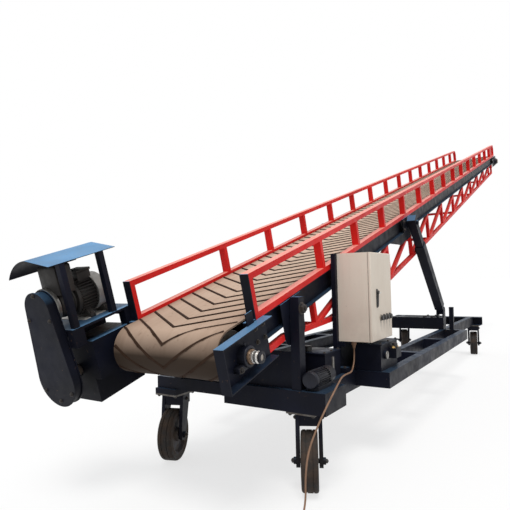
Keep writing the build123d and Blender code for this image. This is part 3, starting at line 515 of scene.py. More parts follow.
# %% Dress the solid nodes
finish_of_slot = {
    "red_paint": red_paint,
    "blue_paint": blue_paint,
    "belt_rubber": belt_rubber,
    "bare_steel": steel,
    "cast_iron": iron,
    "motor_grey": motor_enamel_and_shade,
    "cabinet_grey": cabinet_coat,
    "tyre": tyre_rubber,
    "cord_rubber": cord_sheath,
}
for subpart in frame["record"]["subparts"]:
    piece = nodes[subpart["node"]]
    piece.data.materials.clear()
    piece.data.materials.append(finish_of_slot[subpart["material_slot"]])
nodes["castor_plates"].data.materials[0] = plate_steel
print("dressed", len(nodes), "nodes")

# %% [markdown]
# ## Helpers for modelling by hand
#
# Each new piece starts as a primitive at its drawing place, in metres, and is shaped in edit mode. An
# operator acts on whatever is selected, so one helper picks faces or edges by a test on their place and
# direction, and others make the usual tests. The last one sets the finished mesh into the frame and
# gives it its finish.

# %% Start a piece
piece_count = {}
place_of_body = {"boom": boom_turn, "chassis": chassis_place, "door": chassis_place}
turn_to = {"X": (0, math.pi / 2, 0), "Y": (math.pi / 2, 0, 0), "Z": (0, 0, 0)}
tailward, headward = Vector((-1, 0, 0)), Vector((1, 0, 0))
nearward, farward = Vector((0, -1, 0)), Vector((0, 1, 0))
downward, upward = Vector((0, 0, -1)), Vector((0, 0, 1))


def only(piece):
    bpy.ops.object.select_all(action="DESELECT")
    piece.select_set(True)
    bpy.context.view_layer.objects.active = piece


def primitive(kind, location, turn=(0, 0, 0), **size):
    bpy.ops.object.select_all(action="DESELECT")
    getattr(bpy.ops.mesh, "primitive_" + kind + "_add")(location=location, rotation=turn, **size)
    bpy.ops.object.transform_apply(location=True, rotation=True, scale=True)
    return bpy.context.object


def slab(low, high):
    # A cube drawn out to two opposite corners
    low, high = Vector(low), Vector(high)
    piece = primitive("cube", (0, 0, 0), size=1.0)
    piece.scale = high - low
    piece.location = (low + high) / 2
    bpy.ops.object.transform_apply(location=True, rotation=True, scale=True)
    return piece


def drum(middle, radius, depth, axis, corners=48):
    return primitive("cylinder", middle, turn_to[axis], vertices=corners, radius=radius, depth=depth)


@contextmanager
def editing(piece):
    only(piece)
    bpy.ops.object.mode_set(mode="EDIT")
    yield
    bpy.ops.object.mode_set(mode="OBJECT")


print("primitives ready")


# %% Tests for faces and edges
def facing(look, reach=0.002, **middle):
    # Faces that look one way and lie within reach of the given coordinates
    def test(at, normal):
        near = all(abs(getattr(at, axis) - value) < reach for axis, value in middle.items())
        return near and normal.dot(look) > 0.99

    return test


def rim(look, level=None):
    # Edges that lie across one way and, where a level is given, beyond it
    def test(at, way):
        return abs(way.dot(look)) < 0.1 and (level is None or at.dot(look) > level)

    return test


def lying(look):
    # Edges that lie along one way
    return lambda at, way: abs(way.dot(look)) > 0.9


def pick(kind, test):
    bpy.ops.mesh.select_mode(type=kind)
    bpy.ops.mesh.select_all(action="DESELECT")
    mesh = bpy.context.object.data
    shape = bmesh.from_edit_mesh(mesh)
    shape.normal_update()
    if kind == "FACE":
        for face in shape.faces:
            if test(face.calc_center_median(), face.normal):
                face.select_set(True)
    else:
        for edge in shape.edges:
            first, second = edge.verts
            if test((first.co + second.co) / 2, (second.co - first.co).normalized()):
                edge.select_set(True)
    bmesh.update_edit_mesh(mesh)


print("tests ready")


# %% Shape a piece
def push_faces(test, *steps):
    # Inset the chosen faces and move the new faces out or in, once for each step
    for inset, depth in steps:
        pick("FACE", test)
        bpy.ops.mesh.inset(thickness=inset, depth=depth, use_even_offset=True)


def swell_faces(test, amount):
    pick("FACE", test)
    bpy.ops.mesh.extrude_region_shrink_fatten(TRANSFORM_OT_shrink_fatten={"value": amount})


def draw_out(test, offset):
    pick("FACE", test)
    bpy.ops.mesh.extrude_region_move(TRANSFORM_OT_translate={"value": offset})


def scale_from(middle, shares):
    bpy.ops.transform.resize(value=shares, center_override=middle)


def cut_rings(look, levels, start=(0, 0, 0)):
    for level in levels:
        bpy.ops.mesh.select_all(action="SELECT")
        bpy.ops.mesh.bisect(plane_co=Vector(start) + look * level, plane_no=look)


def round_edges(test, offset, segments=2):
    pick("EDGE", test)
    bpy.ops.mesh.bevel(offset=offset, segments=segments, profile=0.5, affect="EDGES")


def modified(piece, kind, **settings):
    only(piece)
    bpy.ops.object.modifier_add(type=kind)
    modifier = piece.modifiers[-1]
    for name, value in settings.items():
        setattr(modifier, name, value)
    bpy.ops.object.modifier_apply(modifier=modifier.name)


def soften(piece, width, segments=2):
    # Round every sharp edge of a finished shape a little, as casting and folding do
    sharp = math.radians(40)
    modified(piece, "BEVEL", width=width, segments=segments, limit_method="ANGLE", angle_limit=sharp)


def turned(middle, radius, depth, look, corners, rounding, *steps):
    # A cylinder whose end that looks one way has its rim rounded and its face pushed in steps
    middle = Vector(middle)
    axis = "XYZ"[[abs(part) for part in look].index(1.0)]
    end_face = lambda at, normal: normal.dot(look) > 0.99 and (at - middle).cross(look).length < 0.002
    piece = drum(middle, radius, depth, axis, corners)
    with editing(piece):
        round_edges(rim(look, middle.dot(look)), *rounding)
        push_faces(end_face, *steps)
    return piece


def sheet(low, high, look, corner, edge=None, *steps):
    # A slab with rounded corners. Its side that looks one way may get rounded edges and be pushed in steps
    piece = slab(low, high)
    with editing(piece):
        round_edges(lying(look), *corner)
        if edge:
            round_edges(rim(look, (Vector(low) + Vector(high)).dot(look) / 2), *edge)
        push_faces(facing(look), *steps)
    return piece


print("shaping helpers ready")


# %% Copy, join and settle a piece
def copy_of(model, matrix):
    mesh = model.data.copy()
    mesh.transform(matrix)
    piece = bpy.data.objects.new(model.name, mesh)
    bpy.context.scene.collection.objects.link(piece)
    return piece


def joined(pieces):
    bpy.ops.object.select_all(action="DESELECT")
    for piece in pieces:
        piece.select_set(True)
    bpy.context.view_layer.objects.active = pieces[0]
    if len(pieces) > 1:
        bpy.ops.object.join()
    return bpy.context.view_layer.objects.active


def discard(*models):
    for model in models:
        bpy.data.objects.remove(model, do_unlink=True)


def settle(piece, name, body, finish, matrix=None, angle=35.0):
    matrix = matrix or place_of_body.get(body)
    if matrix is not None:
        piece.data.transform(matrix)
    with editing(piece):
        bpy.ops.mesh.select_all(action="SELECT")
        bpy.ops.mesh.normals_make_consistent(inside=False)
    bpy.ops.object.shade_smooth_by_angle(angle=math.radians(angle))
    piece.name = name
    piece.data.name = name
    piece.data.materials.clear()
    piece.data.materials.append(finish)
    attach(piece, body)
    piece_count[body] = piece_count.get(body, 0) + 1
    return piece


# %% [markdown]
# ## The supply cord
#
# A rubber cord leaves the gland under the cabinet, sags along the chassis and drops past the front
# castor to the floor. The photograph follows it that far. Its unseen length is wound in a neat coil
# just outside the picture: nine turns in three layers, each turn a cord's width from the next, held by
# a tie, with the end brought over the top to the plug. A tube with round bends would look like bent
# wire, so the cord is one smooth spline through the drawing's own route points.

# %% Route of the cord
cord_width = 0.009
cord_route = [
    (905, -470, 641.7), (905, -470, 585), (872, -474, 537), (812, -486, 518), (700, -500, 528),
    (585, -522, 535), (470, -552, 529), (360, -575, 510), (255, -584, 468), (154, -580, 398),
    (74, -567, 304), (48, -562, 196), (36, -568, 88), (-52, -580, 24), (-150, -600, 7), (-247, -623, 5.5),
]
coil_middle = Vector((-263.681, -552.651, 0.0))
cord_end = [
    (41.5, -26, 30), (38, -44, 37), (33.5, -61, 37), (27, -78, 28), (13, -92, 15), (-9, -100.5, 7),
    (-34, -103, 5.5), (-58, -98.5, 7), (-77, -86.5, 12), (-86, -71, 18), (-87.8, -57, 20),
    (-87.8, -46, 20),
]
print("route points", len(cord_route), "and", len(cord_end))

# %% Turns of the coil
turn_steps, last_step, coil_start = 16, 141, -76.65
turn_radii, middle_radius, entry_radius = [63, 54, 45, 45, 54, 63, 63, 54, 45], 54, 72.3
layer_levels, layer_turns, climb_swell = [5.5, 14.5, 23.5], 3, 3.5
pull_in = 1.0194
shift_share = 1 / 4


def turn_place(step):
    # Radius and level of a point: each turn slides over to its own place in its first quarter
    turn, part = divmod(step / turn_steps, 1.0)
    turn = int(turn)
    slide = min(part / shift_share, 1.0)
    before = max(turn - 1, 0)
    radius_before = turn_radii[before] if turn else entry_radius
    level_before, level = layer_levels[before // layer_turns], layer_levels[turn // layer_turns]
    radius = radius_before + (turn_radii[turn] - radius_before) * slide
    if level_before != level:
        swell = climb_swell * math.sin(math.pi * slide)
        radius += swell if turn_radii[turn] > middle_radius else -swell
    return radius, level_before + (level - level_before) * slide


cord_points = [Vector(point) for point in cord_route]
for step in range(1, last_step + 1):
    radius, level = turn_place(step)
    angle = math.radians(coil_start - step * 360.0 / turn_steps)
    around = Vector((math.cos(angle) * radius, math.sin(angle) * radius, 0)) * pull_in
    cord_points.append(coil_middle + around)
    cord_points[-1].z = level
cord_points += [coil_middle + Vector(point) for point in cord_end]
print("cord control points", len(cord_points))

# %% Spline of the cord
cord_curve = bpy.data.curves.new("supply_cord_line", "CURVE")
cord_curve.dimensions = "3D"
cord_spline = cord_curve.splines.new("NURBS")
cord_spline.points.add(len(cord_points) - 1)
for control, point in zip(cord_spline.points, cord_points):
    control.co = (*on_chassis(point), 1.0)
cord_spline.order_u = 3
cord_spline.use_endpoint_u = True
cord_spline.resolution_u = 5
cord_curve.resolution_u = 5
cord_curve.bevel_depth = cord_width / 2
cord_curve.bevel_resolution = 3
cord_curve.use_fill_caps = True
cord = bpy.data.objects.new("mains_cord", cord_curve)
bpy.context.scene.collection.objects.link(cord)
cord_curve.materials.append(cord_sheath)
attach(cord, "chassis")
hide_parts("supply_cord", "cord_coil")
print("cord spline", cord_spline.order_u, len(cord_spline.points))

# %% [markdown]
# ## Plug and tie
#
# The plug is a heavy rubber one: a tapered grip with finger rings, a collar and three brass pins. It
# starts as a cylinder and is cut into rings, which are drawn in or out. The tie is a soft strap round
# the section of the coil.

# %% Plug body
plug_place = coil_middle / 1000.0 + Vector((-0.0878, 0.0, 0.020))
plug_cuts = (-0.034, -0.026, -0.021, -0.013, -0.008, 0.000, 0.005, 0.013, 0.020, 0.026)
finger_rings = ((-0.026, -0.021), (-0.013, -0.008), (0.000, 0.005))
collar_end = (-0.040, -0.034)
cord_face = facing(nearward, 0.004, x=plug_place.x, z=plug_place.z)
pin_face = facing(farward, 0.004, x=plug_place.x, z=plug_place.z)
plug = drum(plug_place, radius=0.0200, depth=0.080, axis="Y", corners=40)


def plug_side(low, high):
    return lambda at, normal: low < at.y - plug_place.y < high and abs(normal.y) < 0.5


with editing(plug):
    cut_rings(farward, plug_cuts, plug_place)
    for low, high in finger_rings:
        swell_faces(plug_side(low, high), -0.0028)
    swell_faces(plug_side(*collar_end), -0.0040)
    push_faces(cord_face, (0.006, 0.0))
    draw_out(cord_face, (0, -0.0075, 0))
    push_faces(pin_face, (0.003, 0.0), (0.0005, -0.004))
soften(plug, 0.0008)
settle(plug, "cord_plug_body", "chassis", black_plastic)
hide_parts("cord_plug")
print("plug faces", len(plug.data.polygons))

# %% Plug pins
pin = turned((0, 0, 0), 0.0024, 0.016, farward, 16, (0.0012, 2))
pin_circle = 0.009
pins = []
for number in range(3):
    angle = math.radians(90 + 120 * number)
    offset = Vector((math.cos(angle) * pin_circle, 0.0395, math.sin(angle) * pin_circle))
    pins.append(copy_of(pin, Matrix.Translation(plug_place + offset)))
discard(pin)
plug_pins = settle(joined(pins), "cord_plug_pins", "chassis", brass)
print("plug pins", len(pins))

# %% Tie
tie_angle = math.radians(100)
tie = slab((0.0375, -0.005, 0.0004), (0.0705, 0.005, 0.0300))
with editing(tie):
    push_faces(lambda at, normal: abs(normal.y) > 0.9, (0.0012, 0.0))
    bpy.ops.mesh.bridge_edge_loops()
    round_edges(lying(farward), 0.0030, 3)
tie_place = Matrix.Translation(coil_middle / 1000.0) @ Matrix.Rotation(tie_angle, 4, "Z")
settle(tie, "cord_tie", "chassis", black_plastic, chassis_place @ tie_place)
print("plug and tie on", piece_count)

# %% [markdown]
# ## Castor wheels
#
# The conveyor rolls on four swivel castors. Each wheel is a rubber tyre on a cast hub that runs between
# the plates of its fork. Both are turned shapes, so each starts as a cylinder lying on its axle: the
# tyre's shoulders are rounded, two grooves are cut and drawn in, and its two sides are joined by a
# bore. The hub's sides are inset, sunk and raised again into a boss. They are made once, at the
# drawing's castor, and copied to the four places.

# %% Castor places
castor_places = {
    "fr": ((0.400, -0.411), 206.0),
    "fl": ((0.400, 0.487), 199.0),
    "rr": ((5.211, -0.449), 8.0),
    "rl": ((5.211, 0.449), 20.0),
}
axle = Vector((0.055, 0.0, 0.150))


def castor_matrix(tag):
    (x, y), turn = castor_places[tag]
    return chassis_place @ Matrix.Translation((x, y, 0)) @ Matrix.Rotation(math.radians(turn), 4, "Z")


def wheel_side(at, normal):
    return abs(normal.y) > 0.99 and (at - axle).xz.length < 0.002


print("castors", list(castor_places))

# %% Tyre
groove_in, groove_out = 0.014, 0.018
tyre = drum(axle, radius=0.150, depth=0.085, axis="Y", corners=72)
with editing(tyre):
    round_edges(rim(farward), 0.013, 4)
    cut_rings(farward, (-groove_out, -groove_in, groove_in, groove_out))
    groove = lambda at, normal: groove_in < abs(at.y) < groove_out and abs(normal.y) < 0.1
    swell_faces(groove, -0.004)
    push_faces(wheel_side, (0.008, 0.0), (0.002, -0.0015), (0.016, 0.0))
    pick("FACE", wheel_side)
    bpy.ops.mesh.bridge_edge_loops()
print("tyre faces", len(tyre.data.polygons))

# %% Hub
rim_step, dish, web, boss, boss_edge, bore = (
    (0.007, 0.0), (0.010, -0.020), (0.054, 0.003), (0.004, 0.019), (0.012, 0.0), (0.001, -0.005)
)
hub = drum(axle, radius=0.1125, depth=0.080, axis="Y", corners=48)
with editing(hub):
    push_faces(wheel_side, rim_step, dish, web, boss, boss_edge, bore)
soften(hub, 0.0012)
for tag in castor_places:
    rolling = copy_of(tyre, castor_matrix(tag))
    settle(rolling, "tyre_" + tag, "roller_" + tag, tyre_rubber, angle=30.0)
    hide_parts("wheel_" + tag)
    settle(copy_of(hub, castor_matrix(tag)), "hub_" + tag, "roller_" + tag, iron)
discard(tyre, hub)
print("wheels", list(castor_places))

# %% [markdown]
# ## Nuts, bolts and swivel races
#
# The forks, plates and pins are plain solids, and what makes them read as real is their fasteners. One
# hexagon nut on a washer is modelled standing on the floor of the drawing, its corners chamfered as a
# spanner nut's are. A function then stands copies of it on any surface: at a place, with its top along
# a direction. Everything that one body carries is joined into one piece.

# %% One bolt
bolt = turned((0, 0, 0.0055), 0.0100, 0.0070, upward, 6, (0.0014, 2), (0.0030, 0.0))
with editing(bolt):
    draw_out(facing(upward, x=0.0, y=0.0), (0, 0, 0.0030))
washer = turned((0, 0, 0.0010), 0.0135, 0.0020, upward, 20, (0.0007, 1))
bolt = joined([bolt, washer])


def bolt_at(place, way, size, twist):
    turn = upward.rotation_difference(Vector(way)).to_matrix().to_4x4()
    spin = Matrix.Rotation(math.radians(twist), 4, "Z")
    return copy_of(bolt, Matrix.Translation(place) @ turn @ spin @ Matrix.Scale(size, 4))


def settle_bolts(holes, name, body, finish=black_bolt, matrix=None):
    # Each hole is a place, a direction, a size and a twist
    settle(joined([bolt_at(*hole) for hole in holes]), name, body, finish, matrix)


print("bolt faces", len(bolt.data.polygons))

# %% Castor fasteners
fork_side, axle_boss, fork_top, plate_low = 0.0675, 0.012, 0.352, 0.384
race = drum((0, 0, 0.3820), radius=0.0540, depth=0.0036, axis="Z", corners=40)
with editing(race):
    round_edges(rim(upward), 0.0010)
for tag in castor_places:
    holes = []
    for side in (-1, 1):
        out = (0, side, 0)
        holes.append(((axle.x, side * (fork_side + axle_boss), axle.z), out, 1.15, 17.0))
        holes.append(((0.0, side * fork_side, fork_top), out, 1.0, 8.0))
    fork = "castor_" + tag
    settle_bolts(holes, "castor_nuts_" + tag, fork, matrix=castor_matrix(tag))
    ring = copy_of(race, castor_matrix(tag))
    settle(ring, "swivel_race_" + tag, fork, zinc)
discard(race)
holes = []
for (x, y), turn in castor_places.values():
    for along, aside in product((-0.080, 0.080), (-0.064, 0.064)):
        holes.append(((x + along, y + aside, plate_low), downward, 0.95, 40 * along))
settle_bolts(holes, "plate_bolts", "chassis")
print("castor fasteners on", sorted(piece_count))

# %% [markdown]
# ## Motors
#
# A finned electric motor drives the belt, and a smaller one drives the hydraulic pump. A motor's barrel
# is a cylinder with cooling fins along it, a fan cover at its back and feet under it; the big one has a
# terminal box on top, a ribbed gear case with a flange ring, and a housing over that. The fins could be
# drawn into one profile, but a single blade copied round the barrel is simpler to change. Both motors
# lie along X, so one function makes the barrel for either of them.


# %% A finned barrel
def finned_barrel(start, stop, middle, radius, fin_height, fins):
    both_ends = lambda at, normal: abs(normal.x) > 0.99 and (at.yz - Vector(middle)).length < 0.002
    core = drum(((start + stop) / 2, *middle), radius - fin_height, stop - start, axis="X", corners=48)
    with editing(core):
        push_faces(both_ends, (radius * 0.12, 0.0), (radius * 0.1, 0.004))
    blade = slab((start + 0.004, -0.0018, radius - fin_height - 0.002), (stop - 0.004, 0.0018, radius))
    with editing(blade):
        round_edges(rim(upward, radius - 0.001), 0.0010)
    pieces = [core]
    for number in range(fins):
        around = Matrix.Rotation(math.radians((number + 0.5) * 360.0 / fins), 4, "X")
        pieces.append(copy_of(blade, Matrix.Translation((0, *middle)) @ around))
    discard(blade)
    return joined(pieces)


def fan_cover(start, stop, middle, radius):
    # Its open end faces the barrel, and rings are pressed into its closed end
    rings = []
    for ring in range(5):
        rings += [(radius * 0.055, 0.0), (radius * 0.02, 0.0025 if ring % 2 else -0.0025)]
    place = ((start + stop) / 2, *middle)
    cover = turned(place, radius, stop - start, headward, 56, (radius * 0.14, 4), *rings)
    with editing(cover):
        push_faces(facing(tailward, y=middle[0], z=middle[1]), (0.003, 0.0), (0.001, -0.010))
    return cover


print("motor helpers ready")

# %% Drive motor
drive_middle = (0.521, 0.198)
gear_ribs, rib_width = (-0.392, -0.352, -0.318), 0.008
barrel = finned_barrel(-0.283, -0.180, drive_middle, radius=0.092, fin_height=0.014, fins=34)
bell = drum((-0.290, *drive_middle), radius=0.088, depth=0.022, axis="X", corners=48)
with editing(bell):
    round_edges(rim(headward), 0.005, 3)
on_rib = lambda at, normal: abs(normal.x) < 0.1 and any(low < at.x < low + rib_width for low in gear_ribs)
gear_case = drum((-0.354, *drive_middle), radius=0.070, depth=0.110, axis="X", corners=40)
with editing(gear_case):
    cut_rings(headward, [low + step for low in gear_ribs for step in (0.0, rib_width)])
    swell_faces(on_rib, 0.006)
soften(gear_case, 0.0015)
terminal = slab((-0.252, 0.473, 0.262), (-0.170, 0.569, 0.316))
lid = slab((-0.256, 0.469, 0.316), (-0.166, 0.573, 0.330))
soften(terminal, 0.003, 3)
soften(lid, 0.004, 3)
motor_foot_top = 0.106
feet = []
for start in (-0.262, -0.162):
    foot = slab((start, 0.429, 0.090), (start + 0.032, 0.613, motor_foot_top))
    with editing(foot):
        push_faces(facing(upward), (0.004, 0.0))
        draw_out(facing(upward, 0.01, y=drive_middle[0]), (0, 0, 0.040))
        scale_from((start + 0.016, drive_middle[0], 0.146), (1.0, 0.55, 1.0))
    soften(foot, 0.0015)
    feet.append(foot)
motor = joined([barrel, bell, gear_case, terminal, lid] + feet)
settle(motor, "motor_body", "boom", motor_enamel_and_shade)
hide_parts("drive_motor")
# The fan cover's pale grey is partly its own colour and partly a painted highlight
cover = fan_cover(-0.183, -0.115, drive_middle, radius=0.097)
settle(cover, "motor_fan_cover", "boom", fan_grey)
print("motor faces", len(motor.data.polygons))

# %% Flange ring, housing and base plate
ring_front, bolt_circle = -0.408, 0.081
ring = drum((-0.419, *drive_middle), radius=0.092, depth=0.022, axis="X", corners=64)
with editing(ring):
    round_edges(rim(headward), 0.003)
    ring_face = facing(headward, y=drive_middle[0], z=drive_middle[1])
    push_faces(ring_face, (0.022, 0.0), (0.002, -0.008))
holes = []
for number in range(6):
    angle = math.radians(30 + 60 * number)
    aside, above = bolt_circle * math.cos(angle), bolt_circle * math.sin(angle)
    place = (ring_front, drive_middle[0] + aside, drive_middle[1] + above)
    holes.append((place, headward, 0.62, 0.0))
settle(ring, "motor_flange_ring", "boom", ring_grey)
settle_bolts(holes, "flange_bolts", "boom")
# The housing's dark enamel includes painted shade under the rain cover
brake_box = slab((ring_front, 0.418, 0.250), (-0.318, 0.545, 0.382))
with editing(brake_box):
    push_faces(facing(tailward), (0.010, 0.004))
    push_faces(facing(nearward), (0.010, 0.004))
    push_faces(facing(upward), (0.006, 0.008))
soften(brake_box, 0.002)
settle(brake_box, "motor_brake_box", "boom", motor_enamel_and_shade)
base_plate = sheet((-0.300, 0.432, 0.0885), (-0.100, 0.664, 0.0935), upward, (0.012, 3), (0.001, 1))
settle(base_plate, "motor_base_plate", "boom", fan_grey)
print("flange ring, housing and base plate set")

# %% Pump motor
pump_middle = (-0.466, 0.559)
pump_barrel = finned_barrel(0.335, 0.475, pump_middle, radius=0.045, fin_height=0.007, fins=24)
pump_end = turned((0.323, *pump_middle), 0.043, 0.026, tailward, 36, (0.008, 3))
pump_foot = slab((0.345, -0.497, 0.504), (0.500, -0.435, 0.524))
with editing(pump_foot):
    push_faces(facing(upward), (0.006, 0.0))
    bpy.ops.transform.translate(value=(0, 0, 0.006))
pump_cover = fan_cover(0.470, 0.538, pump_middle, radius=0.0448)
pump = joined([pump_barrel, pump_end, pump_foot, pump_cover])
settle(pump, "pump_motor_body", "chassis", pump_enamel)
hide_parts("pump_motor")
print("pump faces", len(pump.data.polygons))

# %% [markdown]
# ## Drum bearings
#
# Each drum runs in cast block bearings on the frame plates. The housing is a turned boss on a foot,
# with an oily brown race in its middle. At the near end of the tail the bare shaft stands out far
# enough to take a crank, so it gets a bright sleeve with two collars and a dark end cap. One bearing is
# modelled and turned to its four places.

# %% Bearing model
housing = turned((0, -0.021, 0), 0.048, 0.042, nearward, 44, (0.006, 3), (0.006, 0.0), (0.002, -0.004))
foot = sheet((-0.085, -0.030, -0.048), (0.085, 0.0, -0.020), nearward, (0.009, 3), (0.002, 2))
nipple = drum((0, -0.020, 0.051), radius=0.0045, depth=0.012, axis="Z", corners=12)
with editing(nipple):
    draw_out(facing(upward), (0, 0, 0.005))
    scale_from((0, -0.020, 0.062), (0.55, 0.55, 1.0))
block_model = joined([housing, foot, nipple])
race_model = turned((0, -0.0430, 0), 0.0330, 0.014, nearward, 40, (0.002, 2), (0.005, -0.001))
print("bearing faces", len(block_model.data.polygons))

# %% Bearing places
beam_face, foot_face, foot_drop, foot_hole = 0.367, 0.397, 0.034, 0.068
for end, along in {"tail": tail_axis, "head": head_axis}.items():
    blocks, races, holes = [], [], []
    for side in (-1, 1):
        stand = Matrix.Translation((along, side * beam_face, axis_drop))
        if side > 0:
            stand = stand @ Matrix.Rotation(math.pi, 4, "Z")
        blocks.append(copy_of(block_model, stand))
        races.append(copy_of(race_model, stand))
        for offset in (-foot_hole, foot_hole):
            place = (along + offset, side * foot_face, axis_drop - foot_drop)
            holes.append((place, (0, side, 0), 1.1, 12))
    blocks = settle(joined(blocks), end + "_bearing_blocks", "boom", pump_enamel)
    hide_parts(end + "_bearings")
    settle(joined(races), end + "_bearing_races", "boom", race_brown)
    settle_bolts(holes, end + "_bearing_bolts", "boom")
discard(block_model, race_model)
print("bearings at", tail_axis, "and", head_axis)

# %% Bare shaft end
collars = ((-0.446, -0.441), (-0.429, -0.424))
on_collar = lambda at, normal: abs(normal.y) < 0.1 and any(low < at.y < high for low, high in collars)
sleeve = drum((tail_axis, -0.4350, axis_drop), radius=0.0252, depth=0.036, axis="Y", corners=40)
with editing(sleeve):
    cut_rings(farward, [level for collar in collars for level in collar])
    swell_faces(on_collar, 0.0018)
soften(sleeve, 0.0006)
settle(sleeve, "shaft_sleeve", "boom", bright_steel)
cap_place, cap_steps = (tail_axis, -0.4615, axis_drop), ((0.009, 0.0), (0.002, -0.005))
end_cap = turned(cap_place, 0.0262, 0.011, nearward, 40, (0.0025, 3), *cap_steps)
settle(end_cap, "shaft_end_cap", "boom", pump_enamel)
print("shaft end set")

# %% [markdown]
# ## Cabinet door
#
# The door is a shallow pan of folded sheet on two hinges, with a swing handle and four push buttons
# under it. It starts as a thin block: the folds are bevelled, a border for the gasket is inset in the
# back, and the hinge knuckles are joined on. It rides on the door's own body, so all of this opens with
# it.

# %% Door pan
door_left, door_right, door_middle = 0.862, 1.237, 1.0495
door_front, door_back = -0.599, -0.584
door = slab((door_left, door_front, 0.687), (door_right, door_back, 1.207))
with editing(door):
    round_edges(rim(nearward, 0.598), 0.0045, 3)
    round_edges(lambda at, way: abs(way.z) > 0.9 and -0.594 < at.y < -0.582, 0.002)
    push_faces(facing(nearward, 0.02, x=door_middle), (0.004, 0.0))
    push_faces(facing(farward, 0.02, x=door_middle), (0.012, 0.0), (0.009, 0.0))
hinge_x = 1.245
knuckles = []
for level in (0.7806, 1.0926):
    knuckle = drum((hinge_x, -0.586, level + 0.061), radius=0.006, depth=0.040, axis="Z", corners=20)
    with editing(knuckle):
        round_edges(rim(upward), 0.0008)
    leaf = slab((1.233, -0.592, level + 0.041), (hinge_x, -0.588, level + 0.081))
    soften(leaf, 0.0008)
    knuckles += [knuckle, leaf]
door = settle(joined([door] + knuckles), "door_pan", "door", cabinet_coat)
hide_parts("cabinet_door")
print("door faces", len(door.data.polygons))

# %% Swing handle
handle_x, handle_z = 0.9595, 0.9366
low, high = (handle_x - 0.011, -0.603, handle_z - 0.055), (handle_x + 0.011, door_front, handle_z + 0.055)
plate = sheet(low, high, nearward, (0.007, 4), None, (0.003, 0.0))
with editing(plate):
    push_faces(facing(nearward, 0.004, z=handle_z), (0.0008, -0.0015))
lever_back = -0.6035
low, high = (handle_x - 0.0065, -0.6125, handle_z - 0.05), (handle_x + 0.0065, lever_back, handle_z + 0.04)
lever = slab(low, high)
with editing(lever):
    pick("FACE", facing(downward))
    scale_from((handle_x, lever_back, handle_z - 0.05), (0.75, 0.6, 1.0))
soften(lever, 0.003, 3)
boss = turned((handle_x, -0.6080, handle_z + 0.036), 0.0100, 0.014, nearward, 28, (0.003, 3))
settle(joined([plate, lever, boss]), "door_handle", "door", black_plastic)
key_end = handle_x + 0.034
key = slab((handle_x + 0.002, -0.6160, handle_z + 0.0265), (key_end, -0.6120, handle_z + 0.0345))
with editing(key):
    pick("FACE", facing(headward))
    scale_from((key_end, -0.614, handle_z + 0.0305), (1.0, 1.0, 0.55))
soften(key, 0.0012)
settle(key, "door_key_bar", "door", bright_steel)
print("handle at", handle_x, handle_z)

# %% Push buttons
seat_steps, dimple_steps = ((0.0030, 0.0), (0.0004, -0.0025)), ((0.0020, 0.0), (0.0010, -0.0010))
bezel = turned((0, -0.6020, 0), 0.0195, 0.006, nearward, 32, (0.0015, 2), *seat_steps)
button = turned((0, -0.6095, 0), 0.0148, 0.014, nearward, 32, (0.0035, 4), *dimple_steps)
bezels, buttons = [], []
for number in range(4):
    stand = Matrix.Translation((door_left + 0.1575 + button_pitch * number, 0, 0.817))
    bezels.append(copy_of(bezel, stand))
    buttons.append(copy_of(button, stand))
settle(bezels[0], "button_bezel_bright", "door", zinc)
settle(joined(bezels[1:]), "button_bezels", "door", black_plastic)
settle(joined(buttons), "push_buttons", "door", black_plastic)
discard(bezel, button)
print("buttons set")

# %% [markdown]
# ## Inside the cabinet
#
# The door opens, so the cabinet is fitted out: a plated mounting panel on four stand-offs, a rail of
# switchgear over a row of terminals, and three wiring ducts. A switch or a terminal is a block whose
# front is inset and pushed into steps, modelled once and copied along its rail.

# %% Mounting panel
rail_from, rail_to, rail_back = 0.895, 1.205, -0.4038
plated = [sheet((0.884, -0.404, 0.715), (1.215, -0.401, 1.180), nearward, (0.010, 3))]
for along, level in product((0.899, 1.200), (0.730, 1.165)):
    standoff = drum((along, -0.400, level), radius=0.007, depth=0.0056, axis="Y", corners=16)
    soften(standoff, 0.0006)
    plated.append(standoff)
for level in (1.040, 0.800):
    rail = slab((rail_from, -0.4115, level), (rail_to, rail_back, level + 0.035))
    with editing(rail):
        push_faces(facing(nearward), (0.007, 0.0))
        push_faces(facing(nearward, z=level + 0.0175), (0.0005, -0.004))
    plated.append(rail)
settle(joined(plated), "cabinet_panel", "chassis", zinc)
print("panel pieces", len(plated))

# %% Switchgear and ducts
switch_pitch, terminal_pitch = 0.058, 0.0142
switch = slab((0.905, -0.480, 1.012), (0.950, -0.411, 1.103))
with editing(switch):
    push_faces(facing(nearward), (0.010, 0.012), (0.006, -0.004))
soften(switch, 0.0015)
terminal_block = slab((0.905, -0.450, 0.795), (0.917, -0.411, 0.840))
with editing(terminal_block):
    push_faces(facing(nearward), (0.003, -0.006))
switchgear = []
for model, count, pitch in ((switch, 5, switch_pitch), (terminal_block, 18, terminal_pitch)):
    switchgear.append(model)
    for number in range(1, count):
        switchgear.append(copy_of(model, Matrix.Translation((pitch * number, 0, 0))))
settle(joined(switchgear), "cabinet_switchgear", "chassis", black_plastic)
ducts = []
for level in (0.735, 0.905, 1.125):
    duct = slab((rail_from, -0.452, level), (rail_to, rail_back, level + 0.038))
    with editing(duct):
        push_faces(facing(nearward), (0.002, 0.0))
        push_faces(facing(nearward, z=level + 0.019), (0.001, 0.003))
    ducts.append(duct)
settle(joined(ducts), "cabinet_ducts", "chassis", fan_grey)
print("cabinet fitted with", len(switchgear), "blocks and", len(ducts), "ducts")

# %% [markdown]
# ## Dark panel under the cabinet
#
# A dark sheet panel closes the space between the cabinet's posts, so the foot of the cabinet reads as
# one dark wall; it is painted shade, put where the space under the cabinet is dark. It is a thin block
# whose face is inset and pressed in, as a stiffened sheet is.

